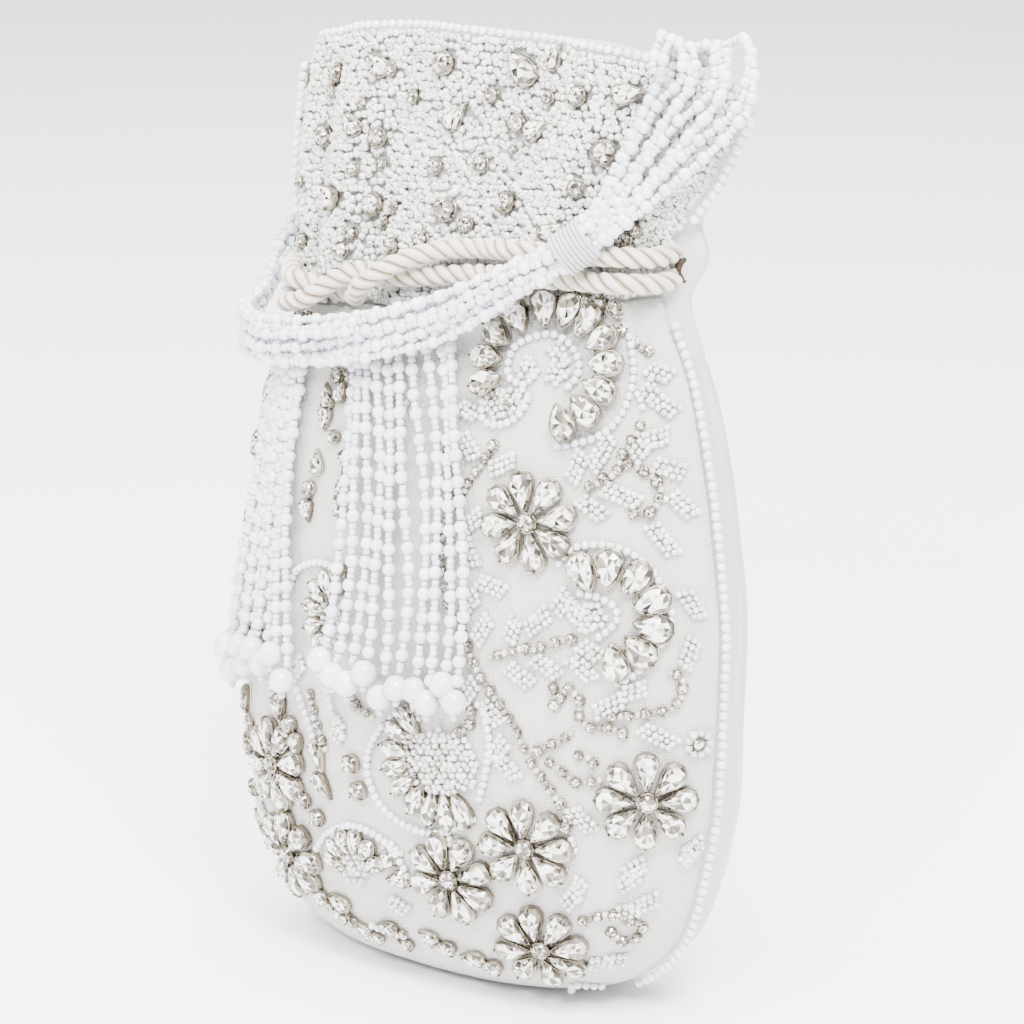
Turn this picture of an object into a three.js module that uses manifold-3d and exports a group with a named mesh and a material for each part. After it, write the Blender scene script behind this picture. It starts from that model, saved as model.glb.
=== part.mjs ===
// Beaded drawstring reticule: a gathered satin pouch with a netted front, a seed-bead yoke, stone
// flowers and paisleys, a two-run drawstring, a strap of pearl strings and two pearl tassels.
// Millimetres, +Z up. The bag stands on its base, the beaded front faces -Y, +X is its right side.
import * as THREE from 'three';
import Module from 'manifold-3d';
import { mergeVertices } from 'three/addons/utils/BufferGeometryUtils.js';

// Driving sizes
const bagHeight = 254;
const halfWidth = 80;
const frontDepth = 38;
const backDepth = 22;
const roundness = 2.3;
const seamDegrees = 78;
const satinWall = 1.8;
const netThickness = 1.0;
const yokeThickness = 1.9;
const clearance = 0.3;
const foldSlack = 1.1;
const foldDepth = 2.2;
const frontFoldDegrees = 31;
const backFoldDegrees = 25.5;
const firstFoldDegrees = 7;
const seamPearl = 2.5;
const seamSlack = 0.35;
const cornerLift = 1.9;
const cornerLevel = 0.12;
const cordDiameter = 5.5;
const holeReach = 0.6;
const petalLength = 11.2;
const petalWidth = 6.6;
const petalCount = 8;
const flowerCentre = 5.4;
const stoneRise = 0.5;
const tableShare = 0.6;
const petalPear = { taper: 0.8, widest: 0.69 };
const rowPear = { taper: 0.35, widest: 0.79 };
const tipOverlap = 0.8;
const petalLift = 0.2;
const rowStoneLength = 8.4;
const cupOverlap = 0.6;
const strandDiameter = 4.4;
const endPearl = 7.4;
const yokeStone = 6;
const rowRadius = 15;
const tasselHeadHeight = 13;
const tasselHeadDepth = 5.5;

// Where the net stops and the bead crust of the yoke starts, as shares of the height
const netBottom = 0.012;
const netTop = 0.731;
const yokeBottom = 0.735;

// Facets
const frontColumns = 16;
const backColumns = 14;
const cordSides = 8;
const cordSteps = 26;
const rowSides = 6;

// Sections of the bag from the base up. Widths are shares of halfWidth, fronts of frontDepth,
// backs of backDepth; sideways is a share of halfWidth, rearward of frontDepth. Above the hips
// the cloth also leans and gathers: see the folds below.
const sections = [
  { level: 0.000, width: 0.485, front: 0.50, back: 0.60, sideways: -0.085, rearward: 0.00 },
  { level: 0.012, width: 0.605, front: 0.62, back: 0.72, sideways: -0.075, rearward: 0.00 },
  { level: 0.040, width: 0.745, front: 0.77, back: 0.82, sideways: -0.055, rearward: 0.00 },
  { level: 0.090, width: 0.855, front: 0.89, back: 0.90, sideways: -0.025, rearward: 0.00 },
  { level: 0.160, width: 0.925, front: 0.97, back: 0.93, sideways: -0.020, rearward: 0.00 },
  { level: 0.260, width: 0.965, front: 1.00, back: 0.93, sideways: -0.005, rearward: 0.00 },
  { level: 0.400, width: 0.965, front: 0.95, back: 0.92, sideways: 0.005, rearward: 0.00 },
  { level: 0.550, width: 0.915, front: 0.84, back: 0.85, sideways: -0.005, rearward: 0.00 },
  { level: 0.655, width: 0.835, front: 0.71, back: 0.77, sideways: -0.020, rearward: 0.01 },
  { level: 0.735, width: 0.745, front: 0.52, back: 0.67, sideways: -0.055, rearward: 0.03 },
  { level: 0.775, width: 0.745, front: 0.48, back: 0.64, sideways: -0.045, rearward: 0.05 },
  { level: 0.880, width: 0.825, front: 0.34, back: 0.54, sideways: 0.005, rearward: 0.12 },
  { level: 1.000, width: 0.865, front: 0.25, back: 0.34, sideways: 0.065, rearward: 0.20 },
];

// Lean is the rise per millimetre to the right, drop the sag of the corners as a share of
// bagHeight, gather the share of foldDepth
const gathers = [
  { level: 0.400, lean: 0, drop: 0, gather: 0 },
  { level: 0.550, lean: 0.02, drop: 0.000, gather: 0.15 },
  { level: 0.655, lean: 0.07, drop: 0.000, gather: 0.60 },
  { level: 0.735, lean: 0.12, drop: 0.000, gather: 1.00 },
  { level: 0.775, lean: 0.11, drop: 0.000, gather: 1.00 },
  { level: 0.880, lean: 0.04, drop: 0.012, gather: 1.00 },
  { level: 1.000, lean: -0.03, drop: 0.035, gather: 0.50 },
];

// Levels where the cloth is cut into rings of facets
const outerLevels = [
  0, 0.012, 0.04, 0.09, 0.16, 0.26, 0.4, 0.55, 0.655, 0.7, 0.735, 0.775, 0.825, 0.88, 0.94, 1,
];
const innerLevels = [1, 0.88, 0.775, 0.735, 0.64, 0.5, 0.3, 0.14, 0.04];

// Whole flowers of eight pear stones round a round one: place on the bag and turn
const flowers = [
  { name: 'flower_middle', level: 0.534, degrees: 23.0, turn: 12 },
  { name: 'flower_right', level: 0.258, degrees: 54.0, turn: 0 },
  { name: 'flower_low_centre', level: 0.196, degrees: 25.0, turn: 4 },
  { name: 'flower_low_left', level: 0.1445, degrees: 8.5, turn: 20 },
  { name: 'flower_base', level: 0.080, degrees: 31.0, turn: 10 },
  { name: 'flower_side_upper', level: 0.214, degrees: -37.0, turn: 16 },
  { name: 'flower_side_lower', level: 0.112, degrees: -36.0, turn: 2 },
];

// Curved rows of pear stones: centre, radius as a share of rowRadius, first and last angle on the
// cloth, and lift in thicknesses of the yoke for the row that reaches over its edge
const rows = [
  { name: 'paisley_top', level: 0.680, degrees: 28.5, radius: 1, from: -77, to: 187, count: 12, lift: 1.05 },
  { name: 'paisley_middle', level: 0.449, degrees: 41.0, radius: 0.82, from: -76, to: 118, count: 7 },
  { name: 'paisley_low', level: 0.272, degrees: 5.5, radius: 0.93, from: 136, to: 300, count: 9 },
  { name: 'arch_low', level: 0.127, degrees: -12, radius: 0.51, from: 20, to: 178, count: 6 },
  { name: 'fan_side', level: 0.399, degrees: -15, radius: 0.71, from: 98, to: 226, count: 6 },
];

// Main stones set in the bead crust of the yoke, their sizes as shares of yokeStone; round ones
// leave the length out
const yokeStones = [
  { level: 0.958, degrees: -42, width: 0.87 },
  { level: 0.969, degrees: -31.5, length: 1.30, width: 0.83, turn: -30 },
  { level: 0.968, degrees: 5, length: 1.83, width: 1.20, turn: -40 },
  { level: 0.954, degrees: 31, length: 1.58, width: 0.93, turn: -80 },
  { level: 0.896, degrees: -43.5, width: 0.93 },
  { level: 0.900, degrees: 30, width: 1.07 },
  { level: 0.840, degrees: -38, length: 1.47, width: 0.93, turn: 40 },
  { level: 0.8305, degrees: -24, width: 0.97 },
  { level: 0.840, degrees: 10.5, width: 0.93 },
];

// Route of the drawstring round the neck, once for both cords: the two lie either side of it,
// spread apart along the angle given by twist (90 is one above the other), and out is the
// distance from the satin, negative inside the pouch where they run in the back channel.
const drawstringRoute = [
  { level: 0.772, degrees: 180, out: -5.5, spread: 6.7, twist: 90 },
  { level: 0.772, degrees: 150, out: -5.5, spread: 6.7, twist: 90 },
  { level: 0.772, degrees: 122, out: -5.5, spread: 6.7, twist: 90 },
  { level: 0.768, degrees: 103, out: -5.5, spread: 6.7, twist: 90 },
  { level: 0.764, degrees: 84, out: 0.5, spread: 6.7, twist: 90 },
  { level: 0.762, degrees: 66, out: 6.5, spread: 6.7, twist: 90 },
  { level: 0.767, degrees: 50, out: 6.5, spread: 6.7, twist: 90 },
  { level: 0.771, degrees: 35, out: 6.5, spread: 6.7, twist: 90 },
  { level: 0.778, degrees: 20, out: 6.5, spread: 6.7, twist: 90 },
  { level: 0.779, degrees: 8, out: 6.5, spread: 6.7, twist: 90 },
  { level: 0.778, degrees: 0, out: 6.7, spread: 6.7, twist: 70 },
  { level: 0.772, degrees: -6, out: 8.6, spread: 6.7, twist: 20 },
  { level: 0.765, degrees: -11, out: 9.3, spread: 6.7, twist: -30 },
  { level: 0.759, degrees: -17, out: 8.9, spread: 6.7, twist: -90 },
  { level: 0.754, degrees: -24, out: 8.9, spread: 6.7, twist: -150 },
  { level: 0.750, degrees: -32, out: 9.3, spread: 6.7, twist: -210 },
  { level: 0.750, degrees: -42, out: 8.3, spread: 6.7, twist: -258 },
  { level: 0.757, degrees: -58, out: 6.8, spread: 6.7, twist: -270 },
  { level: 0.764, degrees: -83, out: 0.5, spread: 6.7, twist: -270 },
  { level: 0.768, degrees: -103, out: -5.5, spread: 6.7, twist: -270 },
  { level: 0.772, degrees: -122, out: -5.5, spread: 6.7, twist: -270 },
  { level: 0.772, degrees: -150, out: -5.5, spread: 6.7, twist: -270 },
];

// Route of the strap of pearl strings, from inside the mouth at the right seam, over the rim,
// down across the yoke and the drawstring, round the left side and up to its sewn end behind.
// Face is the turn of its flat side: 0 outward, 90 up, 180 inward.
const strapRoute = [
  { level: 0.930, degrees: 46, out: -5.6, width: 8, thick: 3.0, face: 180 },
  { level: 1.002, degrees: 47, out: -5.6, width: 9, thick: 3.0, face: 170 },
  { level: 1.030, degrees: 49, out: -2.2, width: 15, thick: 3.2, face: 120 },
  { level: 1.029, degrees: 51, out: 2.8, width: 22, thick: 3.4, face: 60 },
  { level: 0.996, degrees: 50, out: 7.0, width: 23, thick: 3.4, face: 8 },
  { level: 0.948, degrees: 46, out: 7.0, width: 22, thick: 3.4, face: 0 },
  { level: 0.890, degrees: 42.5, out: 7.6, width: 19, thick: 4.0, face: 0 },
  { level: 0.842, degrees: 40, out: 10.4, width: 14, thick: 4.8, face: 0 },
  { level: 0.812, degrees: 37, out: 14.0, width: 11, thick: 5.8, face: 0 },
  { level: 0.785, degrees: 30, out: 14.2, width: 10, thick: 6.8, face: 0 },
  { level: 0.768, degrees: 22, out: 14.2, width: 11, thick: 6.8, face: 0 },
  { level: 0.746, degrees: 13.5, out: 14.2, width: 13, thick: 6.8, face: 0 },
  { level: 0.729, degrees: 4.5, out: 14.0, width: 14, thick: 6.8, face: 0 },
  { level: 0.717, degrees: -3, out: 13.8, width: 14.5, thick: 6.8, face: 0 },
  { level: 0.708, degrees: -11, out: 13.6, width: 14.5, thick: 6.8, face: 0 },
  { level: 0.698, degrees: -24, out: 13.4, width: 14.5, thick: 6.8, face: 0 },
  { level: 0.696, degrees: -37, out: 13.6, width: 14.5, thick: 6.8, face: 0 },
  { level: 0.698, degrees: -49, out: 14.2, width: 14.5, thick: 6.8, face: 0 },
  { level: 0.704, degrees: -61, out: 14.8, width: 14.5, thick: 6.8, face: 0 },
  { level: 0.714, degrees: -73, out: 14.2, width: 14, thick: 6.8, face: 0 },
  { level: 0.742, degrees: -86, out: 13.0, width: 13, thick: 6.8, face: 0 },
  { level: 0.780, degrees: -94, out: 11.0, width: 12, thick: 6.6, face: 0 },
  { level: 0.820, degrees: -102, out: 8.4, width: 11, thick: 6.0, face: 0 },
  { level: 0.868, degrees: -110, out: 5.6, width: 12, thick: 5.2, face: 0 },
  { level: 0.910, degrees: -115, out: 3.4, width: 13, thick: 4.2, face: 0 },
  { level: 0.950, degrees: -118, out: 2.4, width: 12, thick: 3.4, face: 0 },
];

// Tassel strips: degrees where each leaves its head, half way down and at its end pearl, and how
// far its end hangs clear as a share of endPearl. The head's width is a share of halfWidth.
const tassels = [
  {
    name: 'tassel_left', headLevel: 0.699, headDegrees: -45, headWidth: 0.375,
    strips: [
      { from: -60, middle: -49.5, degrees: -65, level: 0.325, lift: 0.27 },
      { from: -52.5, middle: -44.5, degrees: -53.5, level: 0.312, lift: 0.19 },
      { from: -46, middle: -40, degrees: -44, level: 0.330, lift: 0.135 },
      { from: -40.5, middle: -36, degrees: -35.5, level: 0.340, lift: 0.135 },
      { from: -35.5, middle: -32, degrees: -27.5, level: 0.331, lift: 0.135 },
    ],
  },
  {
    name: 'tassel_right', headLevel: 0.708, headDegrees: -9, headWidth: 0.375,
    strips: [
      { from: -20, middle: -13.5, degrees: -14.5, level: 0.372, lift: 0.46 },
      { from: -14, middle: -8.5, degrees: -9, level: 0.352, lift: 0.30 },
      { from: -8.5, middle: -3.5, degrees: -3, level: 0.344, lift: 0.135 },
      { from: -3.5, middle: 1.5, degrees: 2, level: 0.360, lift: 0.135 },
      { from: 1, middle: 6.5, degrees: 7, level: 0.372, lift: 0.135 },
    ],
  },
];

const radians = THREE.MathUtils.degToRad;
const wasm = await Module();
wasm.setup();

// Monotone curve through one column of the section table
function columnCurve(rows, column) {
  const x = rows.map((row) => row.level);
  const y = rows.map((row) => row[column]);
  const step = x.slice(1).map((value, i) => value - x[i]);
  const slope = step.map((h, i) => (y[i + 1] - y[i]) / h);
  const endSlope = (h0, h1, s0, s1) => {
    const d = ((2 * h0 + h1) * s0 - h0 * s1) / (h0 + h1);
    if (Math.sign(d) !== Math.sign(s0)) return 0;
    const turns = Math.sign(s0) !== Math.sign(s1);
    return turns && Math.abs(d) > 3 * Math.abs(s0) ? 3 * s0 : d;
  };
  const last = slope.length - 1;
  const tangent = y.map((_, i) => {
    if (i === 0) return endSlope(step[0], step[1], slope[0], slope[1]);
    if (i > last) return endSlope(step[last], step[last - 1], slope[last], slope[last - 1]);
    if (slope[i - 1] * slope[i] <= 0) return 0;
    const w1 = 2 * step[i] + step[i - 1];
    const w2 = step[i] + 2 * step[i - 1];
    return (w1 + w2) / (w1 / slope[i - 1] + w2 / slope[i]);
  });
  return (level) => {
    const at = THREE.MathUtils.clamp(level, x[0], 1);
    let i = 0;
    while (i < last && at > x[i + 1]) i += 1;
    const h = step[i];
    const t = (at - x[i]) / h;
    const a = y[i] * (1 + 2 * t) * (1 - t) ** 2 + tangent[i] * h * t * (1 - t) ** 2;
    return a + y[i + 1] * t * t * (3 - 2 * t) + tangent[i + 1] * h * t * t * (t - 1);
  };
}

const shapeCurves = ['width', 'front', 'back', 'sideways', 'rearward'].map(
  (name) => [name, columnCurve(sections, name)],
);
const gatherCurves = ['lean', 'drop', 'gather'].map((name) => [name, columnCurve(gathers, name)]);
const curves = Object.fromEntries([...shapeCurves, ...gatherCurves]);

// Depth of the soft folds at an angle: none at the seams
function foldAt(degrees, gather) {
  const turn = ((degrees + 540) % 360) - 180;
  const fromSeam = Math.abs(Math.abs(turn) - seamDegrees);
  const fade = Math.min(1, fromSeam / 18);
  const front = Math.abs(turn) < seamDegrees;
  const period = front ? frontFoldDegrees : backFoldDegrees;
  const from = front ? firstFoldDegrees : 180;
  return -foldDepth * gather * fade * Math.cos((2 * Math.PI * (turn - from)) / period);
}

// Point on the bag: level is the share of its height, degrees turn from the front (0) to the
// right side (90), out is the distance from the satin
function onBag(level, degrees, out = 0) {
  const gather = curves.gather(level);
  const offset = out + foldAt(degrees, gather);
  const s = Math.sin(radians(degrees));
  const c = Math.cos(radians(degrees));
  const power = 2 / roundness;
  const depth = c > 0 ? curves.front(level) * frontDepth : curves.back(level) * backDepth;
  const x = (curves.width(level) * halfWidth + offset) * Math.sign(s) * Math.abs(s) ** power;
  const y = -(depth + offset) * Math.sign(c) * Math.abs(c) ** power;
  const corner = Math.abs(s) ** (3 * power);
  const z = level * bagHeight + curves.lean(level) * x - curves.drop(level) * bagHeight * corner;
  const sideways = curves.sideways(level) * halfWidth;
  const rearward = curves.rearward(level) * frontDepth;
  return new THREE.Vector3(x + sideways, y + rearward, z);
}

// Directions on the cloth: across follows the degrees, up the level, away leaves the bag
function frameAt(level, degrees) {
  const dLevel = 0.002;
  const dDegrees = 0.5;
  const low = Math.min(level, 1 - dLevel);
  const across = onBag(level, degrees + dDegrees).sub(onBag(level, degrees - dDegrees)).normalize();
  const up = onBag(low + dLevel, degrees).sub(onBag(Math.max(low - dLevel, 0), degrees));
  up.addScaledVector(across, -up.dot(across)).normalize();
  return { across, up, away: across.clone().cross(up) };
}

// Lays flat millimetres (u across, v up) on the cloth round one place
function clothPatch(level, degrees) {
  const origin = onBag(level, degrees);
  const { across, up } = frameAt(level, degrees);
  const flat = (a, b) => {
    const p = onBag(a, b).sub(origin);
    return [p.dot(across), p.dot(up)];
  };
  return (u, v, out) => {
    let a = level;
    let b = degrees;
    for (let turn = 0; turn < 8; turn += 1) {
      const [fu, fv] = flat(a, b);
      const [au, av] = flat(a + 0.001, b);
      const [bu, bv] = flat(a, b + 0.1);
      const ju = (au - fu) / 0.001;
      const jv = (av - fv) / 0.001;
      const ku = (bu - fu) / 0.1;
      const kv = (bv - fv) / 0.1;
      const det = ju * kv - jv * ku;
      a = THREE.MathUtils.clamp(a + ((u - fu) * kv - (v - fv) * ku) / det, 0.004, 1);
      b += (ju * (v - fv) - jv * (u - fu)) / det;
    }
    return onBag(a, b, out);
  };
}

// Closed body from points and triangles, turned so that its faces look out
function closedBody(points, faces) {
  const geometry = new THREE.BufferGeometry().setFromPoints(points);
  let volume = 0;
  for (const [a, b, c] of faces) {
    volume += points[a].dot(points[b].clone().cross(points[c]));
  }
  const index = volume < 0 ? faces.map(([a, b, c]) => [a, c, b]) : faces;
  geometry.setIndex(index.flat());
  return geometry;
}

// Closed body through rings of as many points each, closed flat at both ends
function ringBody(rings) {
  const count = rings[0].length;
  const points = rings.flat();
  const faces = [];
  for (let r = 0; r + 1 < rings.length; r += 1) {
    for (let k = 0; k < count; k += 1) {
      const a = r * count + k;
      const b = r * count + ((k + 1) % count);
      faces.push([a, b, b + count], [a, b + count, a + count]);
    }
  }
  const top = (rings.length - 1) * count;
  for (let k = 1; k + 1 < count; k += 1) {
    faces.push([0, k + 1, k], [top, top + k, top + k + 1]);
  }
  return closedBody(points, faces);
}

// Closed sheet between two distances from the satin, over the front between the seams
function frontSheet(levels, near, far) {
  const angles = Array.from(
    { length: frontColumns + 1 },
    (_, k) => -seamDegrees + (2 * seamDegrees * k) / frontColumns,
  );
  const across = angles.length;
  const rows = levels.length;
  const skin = (out) => levels.flatMap((level) => angles.map((degrees) => onBag(level, degrees, out)));
  const points = [...skin(far), ...skin(near)];
  const faces = [];
  const quad = (a, b, c, d) => faces.push([a, b, c], [a, c, d]);
  const at = (r, k, side) => side * rows * across + r * across + k;
  for (let r = 0; r + 1 < rows; r += 1) {
    for (let k = 0; k + 1 < across; k += 1) {
      quad(at(r, k, 0), at(r, k + 1, 0), at(r + 1, k + 1, 0), at(r + 1, k, 0));
      faces.push(
        [at(r, k, 1), at(r + 1, k + 1, 1), at(r, k + 1, 1)],
        [at(r, k, 1), at(r + 1, k, 1), at(r + 1, k + 1, 1)],
      );
    }
    quad(at(r, 0, 1), at(r, 0, 0), at(r + 1, 0, 0), at(r + 1, 0, 1));
    quad(at(r, across - 1, 0), at(r, across - 1, 1), at(r + 1, across - 1, 1), at(r + 1, across - 1, 0));
  }
  for (let k = 0; k + 1 < across; k += 1) {
    quad(at(0, k, 1), at(0, k + 1, 1), at(0, k + 1, 0), at(0, k, 0));
    quad(at(rows - 1, k, 0), at(rows - 1, k + 1, 0), at(rows - 1, k + 1, 1), at(rows - 1, k, 1));
  }
  return closedBody(points, faces);
}

function toSolid(geometry) {
  const bare = geometry.clone();
  bare.deleteAttribute('normal');
  bare.deleteAttribute('uv');
  const merged = mergeVertices(bare, 1e-4);
  return new wasm.Manifold(new wasm.Mesh({
    numProp: 3,
    vertProperties: Float32Array.from(merged.attributes.position.array),
    triVerts: Uint32Array.from(merged.index.array),
  }));
}

function fromSolid(solid) {
  const mesh = solid.getMesh();
  const geometry = new THREE.BufferGeometry();
  geometry.setAttribute('position', new THREE.BufferAttribute(mesh.vertProperties, mesh.numProp));
  geometry.setIndex(new THREE.BufferAttribute(mesh.triVerts, 1));
  return geometry;
}

function joined(geometries) {
  return geometries.map(toSolid).reduce((whole, piece) => whole.add(piece));
}

// Round tube along a smooth curve through points
function tube(points, diameter, steps, sides = cordSides) {
  const section = new THREE.Shape();
  for (let k = 0; k < sides; k += 1) {
    const angle = (2 * Math.PI * k) / sides;
    const x = (diameter / 2) * Math.cos(angle);
    const y = (diameter / 2) * Math.sin(angle);
    if (k === 0) section.moveTo(x, y);
    else section.lineTo(x, y);
  }
  section.closePath();
  const extrudePath = new THREE.CatmullRomCurve3(points);
  return new THREE.ExtrudeGeometry(section, { steps, extrudePath, curveSegments: 1 });
}

// Outline of a stone in eight corners: round, or a pear with its tip towards +v
function stoneOutline(length, width, pear) {
  return Array.from({ length: 8 }, (_, k) => {
    const angle = radians(45 * k);
    const pinch = ((1 - Math.cos(angle)) / 2) ** pear.taper / pear.widest;
    const side = length > width ? pinch : 1;
    return [(width / 2) * Math.sin(angle) * side, (length / 2) * Math.cos(angle)];
  });
}

// Cut stone on the cloth: eight sloping facets under a flat table
function cutStone(patch, place, base) {
  const { u = 0, v = 0, turn = 0, length, width, pear = petalPear } = place;
  const c = Math.cos(radians(turn));
  const s = Math.sin(radians(turn));
  const ring = (share, out) => stoneOutline(length, width, pear).map(([x, y]) => {
    const across = u + share * (c * x - s * y);
    const up = v + share * (s * x + c * y);
    return patch(across, up, out);
  });
  return ringBody([ring(1, base), ring(tableShare, base + width * stoneRise)]);
}

// Distance of the net's and the yoke's faces from the satin
const netFace = clearance + netThickness;
const yokeFace = clearance + yokeThickness;
const stoneSeat = netFace + clearance;

function satinPouch(cordCut) {
  const angles = [];
  for (let k = 0; k < frontColumns; k += 1) {
    angles.push(-seamDegrees + (2 * seamDegrees * k) / frontColumns);
  }
  for (let k = 0; k < backColumns; k += 1) {
    angles.push(seamDegrees + ((360 - 2 * seamDegrees) * k) / backColumns);
  }
  const ring = (level, out) => angles.map((degrees) => onBag(level, degrees, out));
  const floorLevel = satinWall / bagHeight;
  const rings = [
    ...outerLevels.map((level) => ring(level, 0)),
    ...innerLevels.map((level) => ring(level, -satinWall)),
    ring(floorLevel, -satinWall),
  ];
  return fromSolid(toSolid(ringBody(rings)).subtract(cordCut));
}

function netOverlay() {
  const levels = [netBottom, 0.04, 0.09, 0.16, 0.26, 0.4, 0.55, 0.655, 0.7, netTop];
  return frontSheet(levels, clearance, netFace);
}

function beadedYoke(cordCut) {
  const levels = [yokeBottom, 0.775, 0.825, 0.88, 0.94, 1];
  const crust = frontSheet(levels, clearance, yokeFace);
  const sunk = 0.6;
  const stones = yokeStones.map((stone) => {
    const patch = clothPatch(stone.level, stone.degrees);
    const width = stone.width * yokeStone;
    const length = (stone.length ?? stone.width) * yokeStone;
    return cutStone(patch, { turn: stone.turn, length, width }, yokeFace - sunk);
  });
  const cut = joined([crust, ...stones]).subtract(cordCut);
  const largestFirst = cut.decompose().sort((a, b) => b.volume() - a.volume());
  return fromSolid(largestFirst[0]);
}

function flower({ level, degrees, turn }) {
  const patch = clothPatch(level, degrees);
  const ring = (flowerCentre + petalLength) / 2 - tipOverlap;
  const centre = { length: flowerCentre, width: flowerCentre };
  const pieces = [cutStone(patch, centre, stoneSeat)];
  const seat = stoneSeat + petalLift;
  for (let k = 0; k < petalCount; k += 1) {
    const angle = turn + (360 * k) / petalCount;
    const u = ring * Math.cos(radians(angle));
    const v = ring * Math.sin(radians(angle));
    const petal = { u, v, turn: angle + 90, length: petalLength, width: petalWidth };
    pieces.push(cutStone(patch, petal, seat));
  }
  return fromSolid(joined(pieces));
}

// Curved row of pears, each in its cup and touching the next
function stoneRow({ level, degrees, radius: share, from, to, count, lift = 0 }) {
  const patch = clothPatch(level, degrees);
  const radius = share * rowRadius;
  const step = (to - from) / (count - 1);
  const width = 2 * radius * Math.tan(radians(step / 2)) + cupOverlap;
  const length = Math.min(rowStoneLength, radius);
  const pieces = Array.from({ length: count }, (_, k) => {
    const angle = from + step * k;
    const u = radius * Math.cos(radians(angle));
    const v = radius * Math.sin(radians(angle));
    const seat = stoneSeat + lift * yokeThickness + (k % 2) * petalLift;
    return cutStone(patch, { u, v, turn: angle + 90, length, width, pear: rowPear }, seat);
  });
  return fromSolid(joined(pieces));
}

// Row of seam pearls at the edge of the front, between two levels
function seamPearls(side, bottom, top, face, steps) {
  const count = 14;
  const points = Array.from({ length: count + 1 }, (_, k) => {
    const level = bottom + ((top - bottom) * k) / count;
    const lift = cornerLift * Math.max(0, 1 - level / cornerLevel);
    return onBag(level, side * seamDegrees, face + seamSlack + clearance + seamPearl / 2 + lift);
  });
  return tube(points, seamPearl, steps, rowSides);
}

// Row of pearls on the cut edge of the yoke
function rimPearls() {
  const margin = 3;
  const out = (yokeFace - satinWall) / 2;
  const count = 16;
  const points = Array.from({ length: count + 1 }, (_, k) => {
    const degrees = -seamDegrees + margin + (2 * (seamDegrees - margin) * k) / count;
    const p = onBag(1, degrees, out);
    p.z += clearance + seamPearl / 2;
    return p;
  });
  return tube(points, seamPearl, count, rowSides);
}

// Middle line of one of the two cords; side is 1 or -1
function cordPoints(side, stops) {
  return stops.map((stop) => {
    const { up, away } = frameAt(stop.level, stop.degrees);
    const lift = side * (stop.spread / 2) * Math.sin(radians(stop.twist));
    const swing = side * (stop.spread / 2) * Math.cos(radians(stop.twist));
    const place = onBag(stop.level, stop.degrees, stop.out);
    return place.addScaledVector(up, lift).addScaledVector(away, swing);
  });
}

function drawstring(side, diameter = cordDiameter) {
  return tube(cordPoints(side, drawstringRoute), diameter, cordSteps);
}

// Holes at the side seams: the cords' own shape, a clearance wider, beyond the reach of the front
function cordHoles() {
  const reach = holeReach * halfWidth;
  const holes = [1, -1].flatMap((side) => {
    const wide = toSolid(drawstring(side, cordDiameter + 2 * clearance));
    return [wide.trimByPlane([1, 0, 0], reach), wide.trimByPlane([-1, 0, 0], reach)];
  });
  return holes.reduce((whole, piece) => whole.add(piece));
}

// Flat rounded bundle along a route, its rings turned to face as the route says
function strap() {
  const route = strapRoute.map((stop) => {
    const held = Math.min(stop.level, 1);
    const { away, across } = frameAt(held, stop.degrees);
    const place = onBag(held, stop.degrees, stop.out);
    place.z += (stop.level - held) * bagHeight;
    const flatAway = new THREE.Vector3(away.x, away.y, 0).normalize();
    const face = flatAway.multiplyScalar(Math.cos(radians(stop.face)));
    face.z += Math.sin(radians(stop.face));
    return { ...stop, place, face, across };
  });
  const rings = route.map((stop, i) => {
    const before = route[Math.max(i - 1, 0)].place;
    const after = route[Math.min(i + 1, route.length - 1)].place;
    const along = after.clone().sub(before).normalize();
    const face = stop.face.clone().addScaledVector(along, -stop.face.dot(along)).normalize();
    const side = along.clone().cross(face);
    return Array.from({ length: 8 }, (_, k) => {
      const angle = radians(22.5 + 45 * k);
      const flat = (value) => Math.sign(value) * Math.abs(value) ** 0.6;
      return stop.place.clone()
        .addScaledVector(side, (stop.width / 2) * flat(Math.cos(angle)))
        .addScaledVector(face, (stop.thick / 2) * flat(Math.sin(angle)));
    });
  });
  return ringBody(rings);
}

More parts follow.
